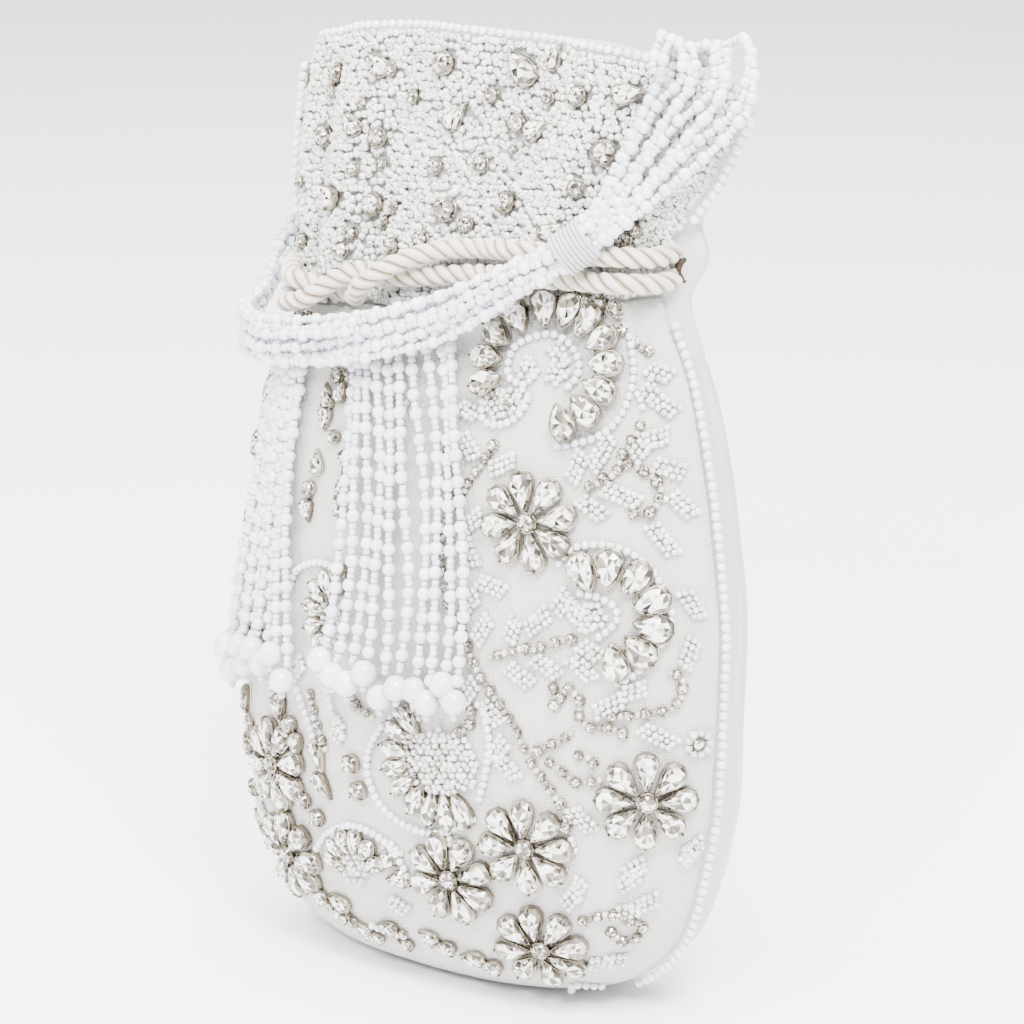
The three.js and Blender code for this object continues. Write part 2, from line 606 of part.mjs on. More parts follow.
// Strips of pearl strings under one head, each with its end pearl
function tassel({ headLevel, headDegrees, headWidth, strips }) {
  const patch = clothPatch(headLevel, headDegrees);
  const near = stoneSeat + foldSlack;
  const headTable = [
    { v: 0.5, size: 0.55 },
    { v: 0.25, size: 0.9 },
    { v: -0.2, size: 1 },
    { v: -0.5, size: 0.8 },
  ];
  const headRings = headTable.map(({ v, size }) => Array.from({ length: 10 }, (_, k) => {
    const angle = radians(36 * k);
    const u = headWidth * (halfWidth / 2) * size * Math.cos(angle);
    const out = near + (tasselHeadDepth / 2) * (1 + size * Math.sin(angle));
    return patch(u, v * tasselHeadHeight, out);
  }));
  const pieces = [ringBody(headRings)];
  for (const strip of strips) {
    const stretches = 4;
    const top = headLevel - (0.3 * tasselHeadHeight) / bagHeight;
    const rings = [];
    for (let r = 0; r <= stretches; r += 1) {
      const t = r / stretches;
      const level = top + (strip.level - top) * t;
      const pull = 2 * strip.middle - (strip.from + strip.degrees) / 2;
      const degrees = strip.from * (1 - t) ** 2 + 2 * pull * t * (1 - t) + strip.degrees * t * t;
      const rest = near + strandDiameter / 2;
      const out = rest + strip.lift * endPearl * t * t;
      const { across, away } = frameAt(level, degrees);
      const centre = onBag(level, degrees, out);
      rings.push(Array.from({ length: 6 }, (_, k) => {
        const angle = radians(60 * k);
        const wide = strandDiameter * 0.45;
        const deep = strandDiameter * 0.5;
        return centre.clone()
          .addScaledVector(across, wide * Math.cos(angle))
          .addScaledVector(away, deep * Math.sin(angle));
      }));
    }
    pieces.push(ringBody(rings));
    const end = onBag(strip.level, strip.degrees, near + endPearl / 2 + strip.lift * endPearl);
    end.z -= endPearl * 0.35;
    const pearl = new THREE.SphereGeometry(endPearl / 2, 10, 4);
    pearl.translate(end.x, end.y, end.z);
    pieces.push(pearl);
  }
  return fromSolid(joined(pieces));
}

function material(color, roughness, metalness = 0) {
  return new THREE.MeshStandardMaterial({ color, roughness, metalness });
}

const satin = material('#eef0f1', 0.35);
const net = material('#f1f1ee', 0.75);
const seedBead = material('#f0efea', 0.3);
const pearl = material('#eeeef4', 0.22);
const rope = material('#f3efe4', 0.6);
const crystal = material('#dad7cf', 0.08, 0.3);

const model = new THREE.Group();

function add(name, geometry, look) {
  const mesh = new THREE.Mesh(geometry, look);
  mesh.name = name;
  model.add(mesh);
}

const cordCut = cordHoles();
add('satin_pouch', satinPouch(cordCut), satin);
add('net_overlay', netOverlay(), net);
add('beaded_yoke', beadedYoke(cordCut), seedBead);
flowers.forEach((place) => add(place.name, flower(place), crystal));
rows.forEach((place) => add(place.name, stoneRow(place), crystal));
for (const [side, name] of [[1, 'right'], [-1, 'left']]) {
  add(`seam_pearls_${name}`, seamPearls(side, netBottom, 0.715, netFace, 18), pearl);
  add(`yoke_pearls_${name}`, seamPearls(side, 0.815, 0.985, yokeFace, 4), pearl);
}
add('rim_pearls', rimPearls(), pearl);
add('drawstring_upper', drawstring(1), rope);
add('drawstring_lower', drawstring(-1), rope);
add('pearl_strap', strap(), pearl);
tassels.forEach((place) => add(place.name, tassel(place), pearl));

export default model;
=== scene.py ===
# %% [markdown]
# # A beaded drawstring reticule
# The bag is a gathered satin pouch. A net with stones, pearls and seed beads covers its front, a
# crust of seed beads covers its neck, and a rope, a strap of pearl strings and two tassels hang
# on it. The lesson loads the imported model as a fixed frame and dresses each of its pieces.

# %% Load the frame
import math
import bpy
import numpy as np
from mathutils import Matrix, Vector


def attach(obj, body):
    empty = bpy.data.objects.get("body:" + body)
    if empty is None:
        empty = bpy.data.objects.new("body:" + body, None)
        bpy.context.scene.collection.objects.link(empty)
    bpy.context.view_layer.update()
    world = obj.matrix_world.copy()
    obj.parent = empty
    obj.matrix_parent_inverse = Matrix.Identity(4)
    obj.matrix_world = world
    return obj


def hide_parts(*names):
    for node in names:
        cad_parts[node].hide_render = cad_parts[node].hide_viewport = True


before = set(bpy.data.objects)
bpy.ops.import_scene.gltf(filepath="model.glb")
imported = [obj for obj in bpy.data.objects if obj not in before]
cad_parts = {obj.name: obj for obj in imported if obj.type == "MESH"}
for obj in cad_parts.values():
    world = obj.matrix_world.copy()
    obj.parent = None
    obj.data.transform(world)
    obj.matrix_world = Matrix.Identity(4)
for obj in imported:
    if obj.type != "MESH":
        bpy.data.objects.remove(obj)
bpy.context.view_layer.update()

# %% [markdown]
# ## Camera
# The photograph looks at the bag from its right front and a little above. Its lens is long, so
# the camera stands almost a metre away. The same numbers later turn a pixel of the photograph
# into a place on the cloth, so they are kept as named values.

# %% Camera at the photograph's angle
MM = 0.001
CAMERA_TURN = 36.0
CAMERA_RISE = 15.0
CAMERA_DISTANCE = 950.0
AIM = np.array([0.0, 0.0, 125.0])
AIM_PX = (498.0, 518.0)
PX_PER_MM = 3.72
PHOTO_PX = 1024
SENSOR = 36.0

turn = math.radians(CAMERA_TURN)
rise = math.radians(CAMERA_RISE)
backward = np.array([math.sin(turn) * math.cos(rise), -math.cos(turn) * math.cos(rise), math.sin(rise)])
eye = AIM + backward * CAMERA_DISTANCE
sideways = np.array([math.cos(turn), math.sin(turn), 0.0])
upward = np.cross(backward, sideways)
focal_px = PX_PER_MM * CAMERA_DISTANCE

camera_data = bpy.data.cameras.new("photo_camera")
camera_data.sensor_width = SENSOR
camera_data.lens = focal_px * SENSOR / PHOTO_PX
camera_data.shift_x = (PHOTO_PX / 2 - AIM_PX[0]) / PHOTO_PX
camera_data.shift_y = (AIM_PX[1] - PHOTO_PX / 2) / PHOTO_PX
camera_data.clip_start = 0.05
camera = bpy.data.objects.new("photo_camera", camera_data)
bpy.context.collection.objects.link(camera)
camera.location = Vector(eye * MM)
camera.rotation_mode = "QUATERNION"
camera.rotation_quaternion = Vector(-backward).to_track_quat("-Z", "Y")
bpy.context.scene.camera = camera
print("lens in millimetres:", round(camera_data.lens, 1))


def photo_pixel(points):
    """Where points in millimetres lie in the photograph."""
    away = np.asarray(points) - eye
    depth = -(away @ backward)
    across = AIM_PX[0] + focal_px * (away @ sideways) / depth
    down = AIM_PX[1] - focal_px * (away @ upward) / depth
    return np.stack([across, down], axis=-1)


# %% [markdown]
# ## Studio
# A white product photograph has almost no dark side. A pale floor, a bright even world and three
# soft lamps give that. One smaller lamp keeps sharp glints on the stones.

# %% Floor, world and lamps
FLOOR_SIDE = 6.0
FLOOR_DROP = 0.0004
floor_mesh = bpy.data.meshes.new("studio_floor")
half_side = FLOOR_SIDE / 2
corners = [
    (-half_side, -half_side, 0), (half_side, -half_side, 0),
    (half_side, half_side, 0), (-half_side, half_side, 0),
]
floor_mesh.from_pydata(corners, [], [(0, 1, 2, 3)])
studio_floor = bpy.data.objects.new("studio_floor", floor_mesh)
bpy.context.collection.objects.link(studio_floor)
studio_floor.location.z = -FLOOR_DROP
floor_paint = bpy.data.materials.new("pale_floor")
floor_paint.use_nodes = True
floor_shader = floor_paint.node_tree.nodes["Principled BSDF"]
floor_shader.inputs["Base Color"].default_value = (0.96, 0.96, 0.96, 1)
floor_shader.inputs["Roughness"].default_value = 0.8
floor_mesh.materials.append(floor_paint)

world = bpy.data.worlds.new("studio_world")
bpy.context.scene.world = world
world.use_nodes = True
WORLD_LEVEL = 1.4
world.node_tree.nodes["Background"].inputs["Color"].default_value = (1.0, 1.0, 1.0, 1)
world.node_tree.nodes["Background"].inputs["Strength"].default_value = WORLD_LEVEL


LAMP_AIM = 0.12


def soft_lamp(name, azimuth, elevation, distance, side, power):
    """A square lamp that looks at the middle of the bag from that direction."""
    lamp_data = bpy.data.lights.new(name, "AREA")
    lamp_data.shape = "SQUARE"
    lamp_data.size = side
    lamp_data.energy = power
    lamp = bpy.data.objects.new(name, lamp_data)
    bpy.context.collection.objects.link(lamp)
    a, e = math.radians(azimuth), math.radians(elevation)
    direction = Vector((math.sin(a) * math.cos(e), -math.cos(a) * math.cos(e), math.sin(e)))
    lamp.location = Vector((0, 0, LAMP_AIM)) + direction * distance
    lamp.rotation_mode = "QUATERNION"
    lamp.rotation_quaternion = direction.to_track_quat("Z", "Y")
    return lamp


soft_lamp("key_right", 50, 50, 1.1, 0.35, 30.0)
soft_lamp("fill_left", -30, 35, 1.3, 0.5, 9.0)
soft_lamp("sparkle", 15, 35, 1.2, 0.10, 15.0)
soft_lamp("overhead", 0, 88, 1.6, 2.6, 185.0)
print("lamps:", ", ".join(light.name for light in bpy.data.lights))

# %% [markdown]
# ## Form of the bag
# Cloth that is gathered by hand isn't a simple solid, but its cross sections are: a flattened
# ring at the base, a wide oval at the hips, a small pleated one at the neck. The form is a table
# of such sections, as shares of the bag's own sizes, joined by smooth curves. One function,
# on_bag, gives any point of the cloth, and every bead, stone and thread is placed with it.

# %% Sizes and sections of the bag
BAG_HEIGHT = 254.0
HALF_WIDTH = 80.0
FRONT_DEPTH = 38.0
BACK_DEPTH = 22.0
ROUNDNESS = 2.3
SEAM_DEGREES = 78.0
FOLD_DEPTH = 2.2
FRONT_FOLD = 31.0
BACK_FOLD = 25.5
FIRST_FOLD = 7.0
CLEARANCE = 0.3
SATIN_WALL = 1.8
NET_FACE = 1.3
YOKE_FACE = 2.2
STONE_SEAT = 1.6
NET_BOTTOM = 0.012
NET_TOP = 0.731
YOKE_BOTTOM = 0.735

SECTION_COLUMNS = ("level", "width", "front", "back", "sideways", "rearward")
SECTIONS = [
    (0.000, 0.485, 0.50, 0.60, -0.085, 0.00),
    (0.012, 0.605, 0.62, 0.72, -0.075, 0.00),
    (0.040, 0.745, 0.77, 0.82, -0.055, 0.00),
    (0.090, 0.855, 0.89, 0.90, -0.025, 0.00),
    (0.160, 0.925, 0.97, 0.93, -0.020, 0.00),
    (0.260, 0.965, 1.00, 0.93, -0.005, 0.00),
    (0.400, 0.965, 0.95, 0.92, 0.005, 0.00),
    (0.550, 0.915, 0.84, 0.85, -0.005, 0.00),
    (0.655, 0.835, 0.71, 0.77, -0.020, 0.01),
    (0.735, 0.745, 0.52, 0.67, -0.055, 0.03),
    (0.775, 0.745, 0.48, 0.64, -0.045, 0.05),
    (0.880, 0.825, 0.34, 0.54, 0.005, 0.12),
    (1.000, 0.865, 0.25, 0.34, 0.065, 0.20),
]
GATHER_COLUMNS = ("level", "lean", "drop", "gather")
GATHERS = [
    (0.400, 0.00, 0.000, 0.00),
    (0.550, 0.02, 0.000, 0.15),
    (0.655, 0.07, 0.000, 0.60),
    (0.735, 0.12, 0.000, 1.00),
    (0.775, 0.11, 0.000, 1.00),
    (0.880, 0.04, 0.012, 1.00),
    (1.000, -0.03, 0.035, 0.50),
]


# %% Smooth curve through a column of the table
def end_slope(h0, h1, s0, s1):
    """Slope at the end of a column, which never makes the curve swing back."""
    slope = ((2 * h0 + h1) * s0 - h0 * s1) / (h0 + h1)
    if np.sign(slope) != np.sign(s0):
        return 0.0
    if np.sign(s0) != np.sign(s1) and abs(slope) > 3 * abs(s0):
        return 3 * s0
    return slope


def column_curve(rows, columns, name):
    x = np.array([row[0] for row in rows])
    y = np.array([row[columns.index(name)] for row in rows])
    h = np.diff(x)
    s = np.diff(y) / h
    tangent = np.zeros(len(x))
    for i in range(1, len(x) - 1):
        if s[i - 1] * s[i] > 0:
            w1, w2 = 2 * h[i] + h[i - 1], h[i] + 2 * h[i - 1]
            tangent[i] = (w1 + w2) / (w1 / s[i - 1] + w2 / s[i])
    tangent[0] = end_slope(h[0], h[1], s[0], s[1])
    tangent[-1] = end_slope(h[-1], h[-2], s[-1], s[-2])

    def curve(level):
        at = np.clip(level, x[0], x[-1])
        i = np.clip(np.searchsorted(x, at, side="right") - 1, 0, len(h) - 1)
        t = (at - x[i]) / h[i]
        start = y[i] * (1 + 2 * t) * (1 - t) ** 2 + tangent[i] * h[i] * t * (1 - t) ** 2
        return start + y[i + 1] * t * t * (3 - 2 * t) + tangent[i + 1] * h[i] * t * t * (t - 1)

    return curve


curves = {name: column_curve(SECTIONS, SECTION_COLUMNS, name) for name in SECTION_COLUMNS[1:]}
curves.update({name: column_curve(GATHERS, GATHER_COLUMNS, name) for name in GATHER_COLUMNS[1:]})
print("curves of the form:", ", ".join(curves))


# %% Any point of the cloth
def fold_at(degrees, gather):
    """Depth of the pleats at an angle, none at the side seams."""
    around = (degrees + 540) % 360 - 180
    fade = np.minimum(1, np.abs(np.abs(around) - SEAM_DEGREES) / 18)
    front = np.abs(around) < SEAM_DEGREES
    period = np.where(front, FRONT_FOLD, BACK_FOLD)
    first = np.where(front, FIRST_FOLD, 180)
    return -FOLD_DEPTH * gather * fade * np.cos(2 * np.pi * (around - first) / period)


def on_bag(level, degrees, out=0.0):
    """Point in millimetres: level is the share of the height, degrees turn from the front to the
    right side, out is the distance from the satin."""
    level, degrees, out = np.broadcast_arrays(*(np.asarray(v, float) for v in (level, degrees, out)))
    offset = out + fold_at(degrees, curves["gather"](level))
    s, c = np.sin(np.radians(degrees)), np.cos(np.radians(degrees))
    power = 2 / ROUNDNESS
    depth = np.where(c > 0, curves["front"](level) * FRONT_DEPTH, curves["back"](level) * BACK_DEPTH)
    x = (curves["width"](level) * HALF_WIDTH + offset) * np.sign(s) * np.abs(s) ** power
    y = -(depth + offset) * np.sign(c) * np.abs(c) ** power
    corner = np.abs(s) ** (3 * power)
    z = level * BAG_HEIGHT + curves["lean"](level) * x - curves["drop"](level) * BAG_HEIGHT * corner
    x = x + curves["sideways"](level) * HALF_WIDTH
    y = y + curves["rearward"](level) * FRONT_DEPTH
    return np.stack([x, y, z], axis=-1)


def unit(vectors):
    return vectors / np.maximum(np.linalg.norm(vectors, axis=-1, keepdims=True), 1e-9)


def round_turns(count):
    """Angles in radians at equal steps of a whole turn."""
    return 2 * np.pi * np.arange(count) / count


def circle(turns):
    """Flat points of a unit circle at angles in radians."""
    return np.stack([np.cos(turns), np.sin(turns)], axis=-1)


def running_length(line):
    """Length so far at each point of a line."""
    return np.concatenate([[0], np.cumsum(np.linalg.norm(np.diff(line, axis=0), axis=1))])


def frame_at(level, degrees):
    """Directions on the cloth: across follows the degrees, up the level, away leaves the bag."""
    level, degrees = np.broadcast_arrays(np.asarray(level, float), np.asarray(degrees, float))
    low = np.minimum(level, 0.998)
    across = unit(on_bag(level, degrees + 0.5) - on_bag(level, degrees - 0.5))
    up = on_bag(low + 0.002, degrees) - on_bag(np.maximum(low - 0.002, 0), degrees)
    up = unit(up - across * np.sum(up * across, axis=-1, keepdims=True))
    return across, up, np.cross(across, up)


# %% [markdown]
# ## Places read from the photograph
# Most stones were placed in the photograph, so their lists hold pixels. A pixel is a line
# of sight. The place where it meets the cloth is found in two steps: the nearest point of a
# coarse net of places on the front, then a few corrections by the local slope.

# %% From a pixel to a place on the cloth
LEVEL_STEP = 0.001
DEGREE_STEP = 0.1
LEAST_AREA = 40
guess_levels, guess_degrees = np.meshgrid(np.linspace(0.01, 0.99, 99), np.linspace(-86, 90, 89))
guess_levels, guess_degrees = guess_levels.ravel(), guess_degrees.ravel()
guess_points = on_bag(guess_levels, guess_degrees, STONE_SEAT)
guess_away = frame_at(guess_levels, guess_degrees)[2]
seen = np.sum(guess_away * unit(eye - guess_points), axis=1) > 0.05
guess_levels, guess_degrees = guess_levels[seen], guess_degrees[seen]
guess_pixels = photo_pixel(guess_points[seen])


def small_moves(miss, by_first, by_second, least=0):
    """How far two values have to move to close a flat gap, from the slope of each."""
    area = by_first[:, 0] * by_second[:, 1] - by_first[:, 1] * by_second[:, 0]
    area = np.where(np.abs(area) < least, least * np.where(area < 0, -1, 1), area)
    first = (miss[:, 0] * by_second[:, 1] - miss[:, 1] * by_second[:, 0]) / area
    second = (by_first[:, 0] * miss[:, 1] - by_first[:, 1] * miss[:, 0]) / area
    return first, second


def cloth_places(pixels, out=STONE_SEAT):
    """Level and degrees of each pixel (across, down) of the photograph."""
    pixels = np.asarray(pixels, float)[:, :2]
    gaps = np.linalg.norm(guess_pixels[None] - pixels[:, None], axis=2)
    nearest = np.argmin(gaps, axis=1)
    level, degrees = guess_levels[nearest].copy(), guess_degrees[nearest].copy()
    for _ in range(6):
        here = photo_pixel(on_bag(level, degrees, out))
        by_level = (photo_pixel(on_bag(level + LEVEL_STEP, degrees, out)) - here) / LEVEL_STEP
        by_degrees = (photo_pixel(on_bag(level, degrees + DEGREE_STEP, out)) - here) / DEGREE_STEP
        d_level, d_degrees = small_moves(pixels - here, by_level, by_degrees, LEAST_AREA)
        level = np.clip(level + np.clip(d_level, -0.02, 0.02), 0.008, 0.995)
        degrees = np.clip(degrees + np.clip(d_degrees, -3, 3), -88, 92)
    return level, degrees


# %% [markdown]
# ## One mesh from many small things
# Thousands of beads as thousands of objects would be slow. Each kind of bead is made once as a
# template, a loop-free copy step puts it at every place, and the copies become one mesh. Each
# face carries a number, tone, that the materials read for its colour: a small spread from bead to
# bead, painted reflections on the stone facets and painted shade in the creases of the rope.

# %% Collector of copies
class Parts:
    def __init__(self):
        self.points, self.corners, self.sizes = [], [], []
        self.tones, self.looks, self.smooth, self.maps = [], [], [], []
        self.count = 0

    def add(self, points, face_sets, tone=0.5, look=0, smooth=True, flat_map=None):
        """points is (copies, n, 3) or (n, 3) in millimetres; each face set is (m, corners)."""
        points = np.asarray(points, float)
        points = points[None] if points.ndim == 2 else points
        copies, n = points.shape[:2]
        tone = np.asarray(tone, float)
        tone = tone[:, None] if tone.ndim == 1 else tone
        for faces in face_sets:
            faces = np.asarray(faces, int)
            everywhere = faces[None] + (np.arange(copies) * n)[:, None, None] + self.count
            total = copies * len(faces)
            self.corners.append(everywhere.ravel())
            self.sizes.append(np.full(total, faces.shape[1]))
            self.tones.append(np.broadcast_to(tone, (copies, len(faces))).ravel())
            self.looks.append(np.full(total, look))
            self.smooth.append(np.full(total, smooth))
        flat = np.zeros((copies, n, 2)) if flat_map is None else np.asarray(flat_map, float)
        self.points.append(points.reshape(-1, 3))
        self.maps.append(flat.reshape(-1, 2))
        self.count += copies * n

    def piece(self, name, materials, slot, *nodes):
        """Joins all that was added into one object that rides on the bag."""
        mesh = bpy.data.meshes.new(name)
        points, corners, sizes = map(np.concatenate, (self.points, self.corners, self.sizes))
        mesh.vertices.add(len(points))
        mesh.vertices.foreach_set("co", (points * MM).ravel())
        mesh.loops.add(len(corners))
        mesh.loops.foreach_set("vertex_index", corners)
        mesh.polygons.add(len(sizes))
        mesh.polygons.foreach_set("loop_start", np.concatenate([[0], np.cumsum(sizes)[:-1]]))
        mesh.polygons.foreach_set("material_index", np.concatenate(self.looks))
        mesh.polygons.foreach_set("use_smooth", np.concatenate(self.smooth))
        mesh.update(calc_edges=True)
        tone = mesh.attributes.new("tone", "FLOAT", "FACE")
        tone.data.foreach_set("value", np.concatenate(self.tones))
        flat = mesh.uv_layers.new(name="cloth_map")
        flat.data.foreach_set("uv", np.concatenate(self.maps)[corners].ravel())
        for material in materials:
            mesh.materials.append(material)
        made = bpy.data.objects.new(name, mesh)
        bpy.context.collection.objects.link(made)
        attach(made, "root")
        if nodes:
            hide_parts(*nodes)
        triangles = int(np.sum(sizes - 2))
        print(f"{name}: {triangles} triangles")
        return made


def turned(profile, sides):
    """Ring of profile points (radius, height) turned round z; the profile closes on itself."""
    angles = round_turns(sides)
    radius, height = np.array(profile).T
    points = np.stack([
        np.outer(np.cos(angles), radius),
        np.outer(np.sin(angles), radius),
        np.broadcast_to(height, (sides, len(profile))),
    ], axis=-1).reshape(-1, 3)
    n = len(profile)
    faces = []
    for k in range(sides):
        for j in range(n):
            a, b = k * n + j, k * n + (j + 1) % n
            c, d = ((k + 1) % sides) * n + (j + 1) % n, ((k + 1) % sides) * n + j
            faces.append((d, c, b, a))
    return points, np.array(faces)


def ball(sides, rings):
    """Unit ball with its poles as small caps of triangles."""
    rows = [math.pi * j / rings for j in range(1, rings)]
    points = [(0, 0, 1)]
    for row in rows:
        for k in range(sides):
            angle = 2 * math.pi * k / sides
            points.append((math.sin(row) * math.cos(angle), math.sin(row) * math.sin(angle), math.cos(row)))
    points.append((0, 0, -1))
    quads, caps = [], []
    for j in range(len(rows) - 1):
        for k in range(sides):
            a, b = 1 + j * sides + k, 1 + j * sides + (k + 1) % sides
            quads.append((a, a + sides, b + sides, b))
    last = len(points) - 1
    for k in range(sides):
        caps.append((0, 1 + k, 1 + (k + 1) % sides))
        caps.append((last, last - sides + (k + 1) % sides, last - sides + k))
    return np.array(points), np.array(quads), np.array(caps)


def copies(template, places, x, y, z, size):
    """The template at every place, its axes turned to x, y and z and scaled by size."""
    size = np.broadcast_to(np.asarray(size, float), (len(places),))[:, None, None]
    turned_points = (template[None, :, 0:1] * x[:, None] + template[None, :, 1:2] * y[:, None]
                     + template[None, :, 2:3] * z[:, None])
    return np.asarray(places)[:, None] + size * turned_points


def cross_axes(z):
    """Two directions square to each z."""
    helper = np.where(np.abs(z[:, 2:3]) > 0.9, np.array([[1.0, 0, 0]]), np.array([[0, 0, 1.0]]))
    x = unit(np.cross(helper, z))
    return x, np.cross(z, x)


# %% Templates of a seed bead and a pearl
SEED_PROFILE = [(0.13, -0.34), (0.38, -0.43), (0.53, 0.0), (0.38, 0.43), (0.13, 0.34)]
seed_points, seed_faces = turned(SEED_PROFILE, 7)
pearl_points, pearl_quads, pearl_caps = ball(10, 7)
chance = np.random.default_rng(7)


def add_seeds(parts, places, axes, size):
    x, y = cross_axes(axes)
    parts.add(copies(seed_points, places, x, y, axes, size), [seed_faces], chance.random(len(places)))


def add_pearls(parts, places, axes, size):
    x, y = cross_axes(axes)
    round_points = copies(pearl_points, places, x, y, axes, np.asarray(size) / 2)
    parts.add(round_points, [pearl_quads, pearl_caps], chance.random(len(places)))


# %% [markdown]
# ## Finishes
# Everything here is nearly white, so the finishes differ by gloss, not by colour. Satin has a
# soft sheen, the net a dull weave, the beads a hard shine, the pearls a bluish one. A shader
# group adds the same small colour spread to each, and another a woven height.

# %% Shader group: small spread of colour from bead to bead, and painted shade in the rope's creases
def node_group(name, inputs, outputs):
    group = bpy.data.node_groups.new(name, "ShaderNodeTree")
    for label, kind, default in inputs:
        socket = group.interface.new_socket(name=label, in_out="INPUT", socket_type=kind)
        socket.default_value = default
    for label, kind in outputs:
        group.interface.new_socket(name=label, in_out="OUTPUT", socket_type=kind)
    start = group.nodes.new("NodeGroupInput")
    end = group.nodes.new("NodeGroupOutput")
    return group, start, end


spread, spread_in, spread_out = node_group(
    "bead_spread_and_crease_shade",
    [
        ("Pale", "NodeSocketColor", (1, 1, 1, 1)),
        ("Deep", "NodeSocketColor", (0.8, 0.8, 0.8, 1)),
    ],
    [("Color", "NodeSocketColor")],
)
tone_node = spread.nodes.new("ShaderNodeAttribute")
tone_node.attribute_name = "tone"
blend = spread.nodes.new("ShaderNodeMix")
blend.data_type = "RGBA"
spread.links.new(tone_node.outputs["Fac"], blend.inputs["Factor"])
spread.links.new(spread_in.outputs["Pale"], blend.inputs["A"])
spread.links.new(spread_in.outputs["Deep"], blend.inputs["B"])
spread.links.new(blend.outputs["Result"], spread_out.inputs["Color"])

# %% Shader group: woven threads along the cloth's own map
weave, weave_in, weave_out = node_group(
    "thread_weave",
    [("Threads", "NodeSocketFloat", 1200.0), ("Cross", "NodeSocketFloat", 1.0)],
    [("Height", "NodeSocketFloat")],
)
map_node = weave.nodes.new("ShaderNodeUVMap")
map_node.uv_map = "cloth_map"
heights = []
for direction in ("X", "Y"):
    wave = weave.nodes.new("ShaderNodeTexWave")
    wave.bands_direction = direction
    wave.inputs["Distortion"].default_value = 0.6
    wave.inputs["Detail"].default_value = 1.0
    weave.links.new(map_node.outputs["UV"], wave.inputs["Vector"])
    weave.links.new(weave_in.outputs["Threads"], wave.inputs["Scale"])
    heights.append(wave)
cross_part = weave.nodes.new("ShaderNodeMath")
cross_part.operation = "MULTIPLY_ADD"
weave.links.new(heights[1].outputs["Fac"], cross_part.inputs[0])
weave.links.new(weave_in.outputs["Cross"], cross_part.inputs[1])
weave.links.new(heights[0].outputs["Fac"], cross_part.inputs[2])
weave.links.new(cross_part.outputs[0], weave_out.inputs["Height"])


# %% Materials
def shiny(name, roughness, metallic=0.0, coat=0.0, sheen=0.0, pale=(1, 1, 1), deep=(1, 1, 1)):
    material = bpy.data.materials.new(name)
    material.use_nodes = True
    tree = material.node_tree
    shader = tree.nodes["Principled BSDF"]
    shader.inputs["Roughness"].default_value = roughness
    shader.inputs["Metallic"].default_value = metallic
    shader.inputs["Coat Weight"].default_value = coat
    shader.inputs["Coat Roughness"].default_value = 0.08
    shader.inputs["Sheen Weight"].default_value = sheen
    shader.inputs["Sheen Roughness"].default_value = 0.4
    group = tree.nodes.new("ShaderNodeGroup")
    group.node_tree = spread
    group.inputs["Pale"].default_value = (*pale, 1)
    group.inputs["Deep"].default_value = (*deep, 1)
    tree.links.new(group.outputs["Color"], shader.inputs["Base Color"])
    return material


def woven(material, threads, cross, strength, height):
    """Gives a material raised threads."""
    tree = material.node_tree
    group = tree.nodes.new("ShaderNodeGroup")
    group.node_tree = weave
    group.inputs["Threads"].default_value = threads
    group.inputs["Cross"].default_value = cross
    bump = tree.nodes.new("ShaderNodeBump")
    bump.inputs["Strength"].default_value = strength
    bump.inputs["Distance"].default_value = height
    tree.links.new(group.outputs["Height"], bump.inputs["Height"])
    tree.links.new(bump.outputs["Normal"], tree.nodes["Principled BSDF"].inputs["Normal"])
    return material


satin_paint = shiny("white_satin", 0.42, sheen=0.25, pale=(0.47, 0.475, 0.475), deep=(0.44, 0.45, 0.445))
satin_cloth = woven(satin_paint, threads=1.6, cross=0.3, strength=0.12, height=0.0001)
net_paint = shiny("embroidered_net", 0.7, sheen=0.1, pale=(0.62, 0.61, 0.58), deep=(0.55, 0.54, 0.51))
net_cloth = woven(net_paint, threads=0.42, cross=0.5, strength=0.6, height=0.0004)
seed_glass = shiny("white_seed_beads", 0.16, coat=0.7, pale=(0.76, 0.76, 0.74), deep=(0.50, 0.50, 0.47))
silver_seed = shiny(
    "silver_lined_beads", 0.15, metallic=0.2, coat=0.6, pale=(0.70, 0.67, 0.60), deep=(0.16, 0.13, 0.10),
)
pearl_coat = shiny("pearl_white", 0.12, coat=0.8, pale=(0.75, 0.76, 0.79), deep=(0.60, 0.62, 0.68))
silver_cup = shiny("silver_cups", 0.25, metallic=1.0, pale=(0.52, 0.46, 0.37), deep=(0.18, 0.14, 0.10))
# Painted shade: a nearly black brown for the ring that stands for the shade inside the slits.
slit_shade_paint = shiny("slit_opening_shade", 0.8, pale=(0.04, 0.018, 0.007), deep=(0.012, 0.005, 0.002))


def facet_material():
    """Foiled glass with painted reflections: each facet takes a tone from nearly black to white, with a hard
    shine.
    """
    material = shiny("cut_stones", 0.10, coat=0.35)
    tree = material.node_tree
    shader = tree.nodes["Principled BSDF"]
    shader.inputs["Coat Roughness"].default_value = 0.02
    shader.inputs["IOR"].default_value = 1.55
    tone = tree.nodes.new("ShaderNodeAttribute")
    tone.attribute_name = "tone"
    # Painted reflections: the ramp turns each facet's tone into a colour from nearly black to white.
    ramp = tree.nodes.new("ShaderNodeValToRGB")
    stops = [
        (0.0, (0.008, 0.007, 0.006)), (0.2, (0.055, 0.046, 0.036)),
        (0.45, (0.22, 0.19, 0.145)), (0.78, (0.84, 0.83, 0.80)),
    ]
    ramp.color_ramp.elements[0].position, ramp.color_ramp.elements[1].position = stops[0][0], stops[-1][0]
    for place, _ in stops[1:-1]:
        ramp.color_ramp.elements.new(place)
    for element, (_, colour) in zip(ramp.color_ramp.elements, stops):
        element.color = (*colour, 1)
    tree.links.new(tone.outputs["Fac"], ramp.inputs["Fac"])
    tree.links.new(ramp.outputs["Color"], shader.inputs["Base Color"])
    return material


